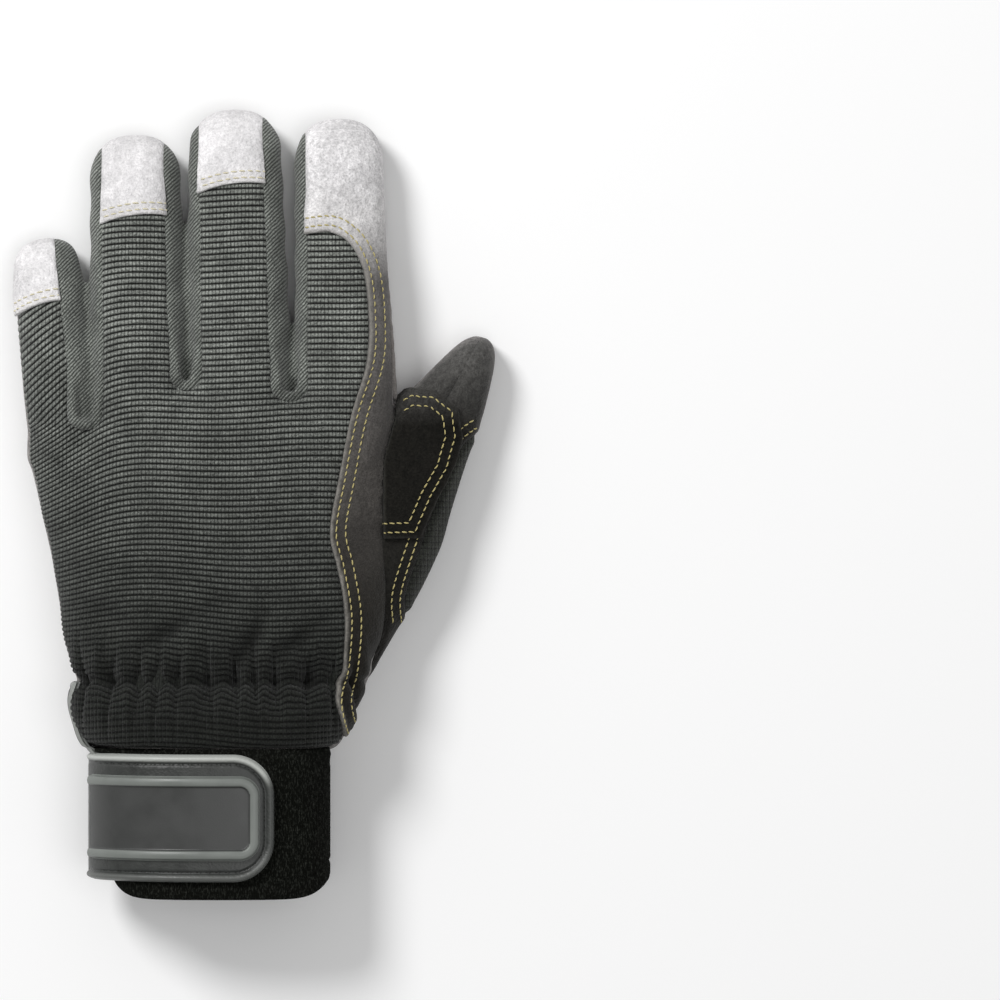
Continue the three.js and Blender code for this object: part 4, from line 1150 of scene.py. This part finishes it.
def band(inset, end_inset, first, rows, columns, height, base, edge_mark, beyond=0):
    """A strap layer over its unrolled plan, with its height given over each spot's distance to the edge.

    beyond is how far the edge that counts lies past the layer's left end.
    """
    fine = np.linspace(0, 1, 1201)
    path = strap_point(fine, 0 * fine + 1)
    run = np.r_[0, np.cumsum(np.linalg.norm(np.diff(path, axis=0), axis=1))]
    half = STRAP_WIDTH / 2 - inset
    y = STRAP_MID + half * np.sin(np.linspace(-np.pi / 2, np.pi / 2, rows))
    last = int(np.argmin(path[:, 0]))
    top = np.interp(strap_end(y, inset, end_inset), path[last:, 0], run[last:])
    start = np.interp(first, fine, run)
    share = (1 - np.cos(np.linspace(0, np.pi, columns))) / 2
    share = mix(share, np.linspace(0, 1, columns), 0.6)
    along = start + (top[:, None] - start) * share
    yy = y[:, None] + 0 * along
    outline = np.vstack([np.stack([top, y], 1), [[start - beyond, y[-1]], [start - beyond, y[0]]]])
    far = np.abs(depth_in(outline, along.ravel(), yy.ravel())).reshape(along.shape)
    step = np.interp(along, run, fine)
    upper = strap_point(step, height(far, along - start, yy))
    under = strap_point(step, 0 * far + base)
    top_grid = np.stack([upper[..., 0], yy, upper[..., 1]], -1)
    low_grid = np.stack([under[..., 0], yy, under[..., 1]], -1)
    return (*closed_sheet(top_grid, low_grid), {"edge": edge_mark(far, yy).ravel()})


def strap_height(far, along, y):
    edge = STRAP_THICK * (1 - (1 - np.clip(far / 1.1, 0, 1)) ** 2.2 * 0.75)
    roll = 0.55 * np.exp(-((far - 1.4) / 0.8) ** 2)
    groove = 0.55 * np.exp(-((far - 3.0) / 0.5) ** 2)
    return edge + roll - groove


def plate_height(far, along, y):
    rise = smooth(far / 0.9) * 1.5 + 0.35 * np.exp(-((far - 1.9) / 1.1) ** 2)
    sink = 0.8 * smooth((far - 2.9) / 0.7)
    return STRAP_THICK + 0.1 + rise - sink


def tab():
    y = np.linspace(CUFF_LENGTH - 4, CUFF_LENGTH + 22, 70)[:, None]
    side = np.sin(np.linspace(-np.pi / 2, np.pi / 2, 40))[None]
    half = mix(7.0, 4.2, (y - y[0]) / (y[-1] - y[0]))
    z = 21 + side * half
    left, right, bottom, top, _ = hand_size(np.maximum(0.01, (y - CUFF_LENGTH) / HAND_LENGTH))
    u = (z - (top + bottom) / 2) / ((top - bottom) / 2)
    x = (left + right) / 2 - (right - left) / 2 * (1 - np.abs(u) ** CUFF_POWER) ** (1 / CUFF_POWER)
    x = x + 2.6 * smooth((CUFF_LENGTH + 1.5 - y) / 4)
    edge = np.minimum(half * (1 - np.abs(side)), np.minimum(y - y[0], y[-1] - y) + 0.01)
    rise = 0.4 + 1.4 * (1 - 0.6 * (1 - np.clip(edge / 0.8, 0, 1)) ** 2) - 0.3 * np.exp(-((edge - 2) / 0.4) ** 2)
    upper = np.stack([x - rise, y + 0 * x, z], -1)
    under = np.stack([x + 0.3, y + 0 * x, z], -1)
    return (*closed_sheet(upper, under), {"edge": (0.5 * (edge < 1.2)).ravel()})


def strap_highlight(far, y):
    """Painted highlight: the coating is painted light along the upper edge, where the key light catches the rolled
    bead, and a little along the lower one.
    """
    highlight_and_pale_edge = np.where(y > STRAP_MID, smooth((y - STRAP_MID - 9) / 6), 0.12 * smooth((STRAP_MID - y - 9) / 6))
    return (0.05 + 0.95 * highlight_and_pale_edge) * (1 - smooth((far - 1.6) / 1.1))


add("strap", *band(0, 0, 0.0, 130, 190, strap_height, 0, strap_highlight))
add("strap_plate", *band(6.7, 4.6, 0.19, 110, 180, plate_height, STRAP_THICK - 0.3,
                         lambda far, y: 1.0 * (far < 3.2), 20))
add("strap_tab", *tab())

# ---------------------------------------------------------------- stitching


def on_surface(line, trees, side):
    """Lays a plan line on the pieces, from above or below. Returns places, ways out and what was hit."""
    spots, ways, hit = [], [], []
    for x, y in line:
        best = None
        for node in trees:
            place, way, _, _ = built[node].ray_cast(Vector((x, y, 120 * side)), Vector((0, 0, -side)))
            if place is not None and (best is None or place.z * side > best[0].z * side):
                best = (place, way)
        hit.append(best is not None)
        spots.append(best[0] if best else (x, y, 0))
        ways.append(best[1] if best else (0, 0, side))
    return np.array(spots, float), np.array(ways, float), np.array(hit)


def stitches(name, lines, trees, look, side=1, pitch=2.3, size=0.24, fill=0.74, rise=0.12):
    """A row of single stitches along each plan line, as one piece."""
    rings, sides = 6, 6
    t = np.linspace(-0.5, 0.5, rings)
    turn = np.linspace(0, 2 * np.pi, sides, endpoint=False)
    all_points, all_faces, start = [], [], 0
    for line in lines:
        fine = even(line, 0.4)
        spots, ways, hit = on_surface(fine, trees, side)
        jump = np.r_[0, np.linalg.norm(np.diff(spots, axis=0), axis=1)]
        for k in range(2):
            ways[1:-1] = (ways[:-2] + 2 * ways[1:-1] + ways[2:]) / 4
        run = np.cumsum(jump)
        for at in np.arange(pitch / 2, run[-1] - pitch / 2, pitch):
            near_by = np.abs(run - at) < pitch * 0.6
            if not near_by.any() or not hit[near_by].all() or jump[near_by].max() > 1.6:
                continue
            length = pitch * fill * (1 + 0.08 * rng.standard_normal())
            s = at + t * length
            middle = np.stack([np.interp(s, run, spots[:, k]) for k in range(3)], 1)
            out = np.stack([np.interp(s, run, ways[:, k]) for k in range(3)], 1)
            out /= np.linalg.norm(out, axis=1)[:, None]
            way = np.gradient(middle, axis=0)
            way /= np.linalg.norm(way, axis=1)[:, None] + 1e-9
            across = np.cross(way, out)
            across /= np.linalg.norm(across, axis=1)[:, None] + 1e-9
            lift = rise + size * 0.4 - 1.1 * size * (np.abs(2 * t) ** 3)
            middle = middle + out * lift[:, None] + across * (t * 0.22)[:, None]
            thick = size * (1 - 0.45 * np.abs(2 * t) ** 3)
            ring = (middle[:, None] + across[:, None] * (thick[:, None] * np.cos(turn))[..., None]
                    + out[:, None] * (0.8 * thick[:, None] * np.sin(turn))[..., None])
            all_points.append(ring.reshape(-1, 3))
            number = np.arange(rings * sides).reshape(rings, sides) + start
            a, b = number[:-1], np.roll(number[:-1], -1, 1)
            d, c = number[1:], np.roll(number[1:], -1, 1)
            all_faces += np.stack([a, d, c, b], -1).reshape(-1, 4).tolist()
            all_faces += [number[0].tolist(), number[-1][::-1].tolist()]
            start += rings * sides
    piece = new_piece(name, np.vstack(all_points), all_faces, look)
    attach(piece, "root")


def rows_of(line, first=1.9, second=4.8):
    return [shifted(line, first), shifted(line, second)]


def closed_rows(line):
    rows = []
    for inset in (1.9, 4.8):
        row = shifted(line, -inset)
        row = row[depth_in(line, row[:, 0], row[:, 1]) > inset - 0.12]
        rows.append(np.vstack([row, row[:1]]))
    return rows


TOP_EDGE = curved(np.vstack([[SIDE[len(SIDE_EDGE)] + [0.8, 0]], [on_hand(*p) for p in SIDE_PANEL_EDGE]]), 0.5)
stitches("side_panel_stitching", rows_of(TOP_EDGE), ["index_side_panel"], THREAD)
for name in CAPS:
    edge = even(CAPS[name][:13], 0.5)
    edge = edge[2:-2]
    stitches(name + "_cap_stitching", rows_of(edge, 1.5, 3.6), [name + "_cap"], PALE_THREAD, pitch=2.6)
stitches("fork_patch_stitching", closed_rows(FORK_LINE), ["fork_patch"], THREAD)
stitches("palm_patch_stitching", closed_rows(PALM_LINE), ["palm_patch"], THREAD, -1)
stitches("palm_quilting", [shifted(even(line, 0.5), by) for line in QUILTING for by in (-1.45, 1.45)],
         ["palm_patch"], THREAD, -1)
stitches("index_patch_stitching", closed_rows(INDEX_LINE), ["index_patch"], THREAD, -1)
THUMB_SEAM = from_palm([(761, 562), (747, 600), (738, 640), (740, 664), (752, 686), (774, 708), (800, 722),
                        (832, 716), (858, 702)])
stitches("thumb_base_stitching", [shifted(even(THUMB_SEAM, 0.5), by) for by in (-2.0, -4.6)], ["palm_panel"], THREAD, -1)
INSERT_EDGE = INSERT[:-2]
stitches("thumb_insert_stitching", [shifted(INSERT_EDGE, by) for by in (2.0, 4.6)], ["thumb_outer_panel"], THREAD)


def strap_row(inset):
    half, end = STRAP_WIDTH / 2 - inset, STRAP_END - inset
    corner = 13 - inset
    turn = np.linspace(0, math.pi / 2, 12)
    low = np.stack([end - corner + corner * np.sin(turn), STRAP_MID - half + corner * (1 - np.cos(turn))], 1)
    high = low[::-1] * [1, -1] + [0, 2 * STRAP_MID]
    left = CUFF_X - CUFF_WIDTH / 2 - 3.6
    return even(np.vstack([[[left, STRAP_MID - half]], low, high, [[left, STRAP_MID + half]]]), 0.5)


stitches("strap_stitching", [strap_row(3.1)], ["strap"], BLACK_THREAD, pitch=3.0, size=0.3, fill=0.78)

# ---------------------------------------------------------------- floor, light and camera


def lamp(name, kind, place, aim, energy, size=1.0, colour="#ffffff"):
    light = bpy.data.lights.new(name, kind)
    light.energy = energy
    light.color = linear(colour)[:3]
    if kind == "AREA":
        light.shape = "DISK"
        light.size = size
    else:
        light.angle = size
    piece = bpy.data.objects.new(name, light)
    piece.location = place
    piece.rotation_euler = (Vector(aim) - Vector(place)).to_track_quat("-Z", "Y").to_euler()
    bpy.context.scene.collection.objects.link(piece)


floor_mesh = bpy.data.meshes.new("floor")
floor_mesh.from_pydata([(-2, -2, 0), (2, -2, 0), (2, 2, 0), (-2, 2, 0)], [], [(0, 1, 2, 3)])
floor = bpy.data.objects.new("floor", floor_mesh)
bpy.context.scene.collection.objects.link(floor)
white = Look("white table", 0.9, specular=0.1)
floor_mesh.materials.append(white.finish(linear("#fbfbfb")))

lamp("key", "AREA", (-0.85, 0.95, 1.3), (0, 0, 0), 22, 0.6)
lamp("fill", "AREA", (0.5, -0.3, 1.9), (0, 0, 0), 8, 1.4)
world = bpy.data.worlds.new("studio")
bpy.context.scene.world = world
world.use_nodes = True
world.node_tree.nodes["Background"].inputs["Color"].default_value = (1, 1, 1, 1)
world.node_tree.nodes["Background"].inputs["Strength"].default_value = 0.40
bpy.context.scene.view_settings.view_transform = "Standard"

camera_data = bpy.data.cameras.new("camera")
camera = bpy.data.objects.new("camera", camera_data)
bpy.context.scene.collection.objects.link(camera)
camera.location = (0.0783, 0.0005, 2.0)
camera_data.lens = 36 * (2.0 - 0.016) / 0.31766
bpy.context.scene.camera = camera
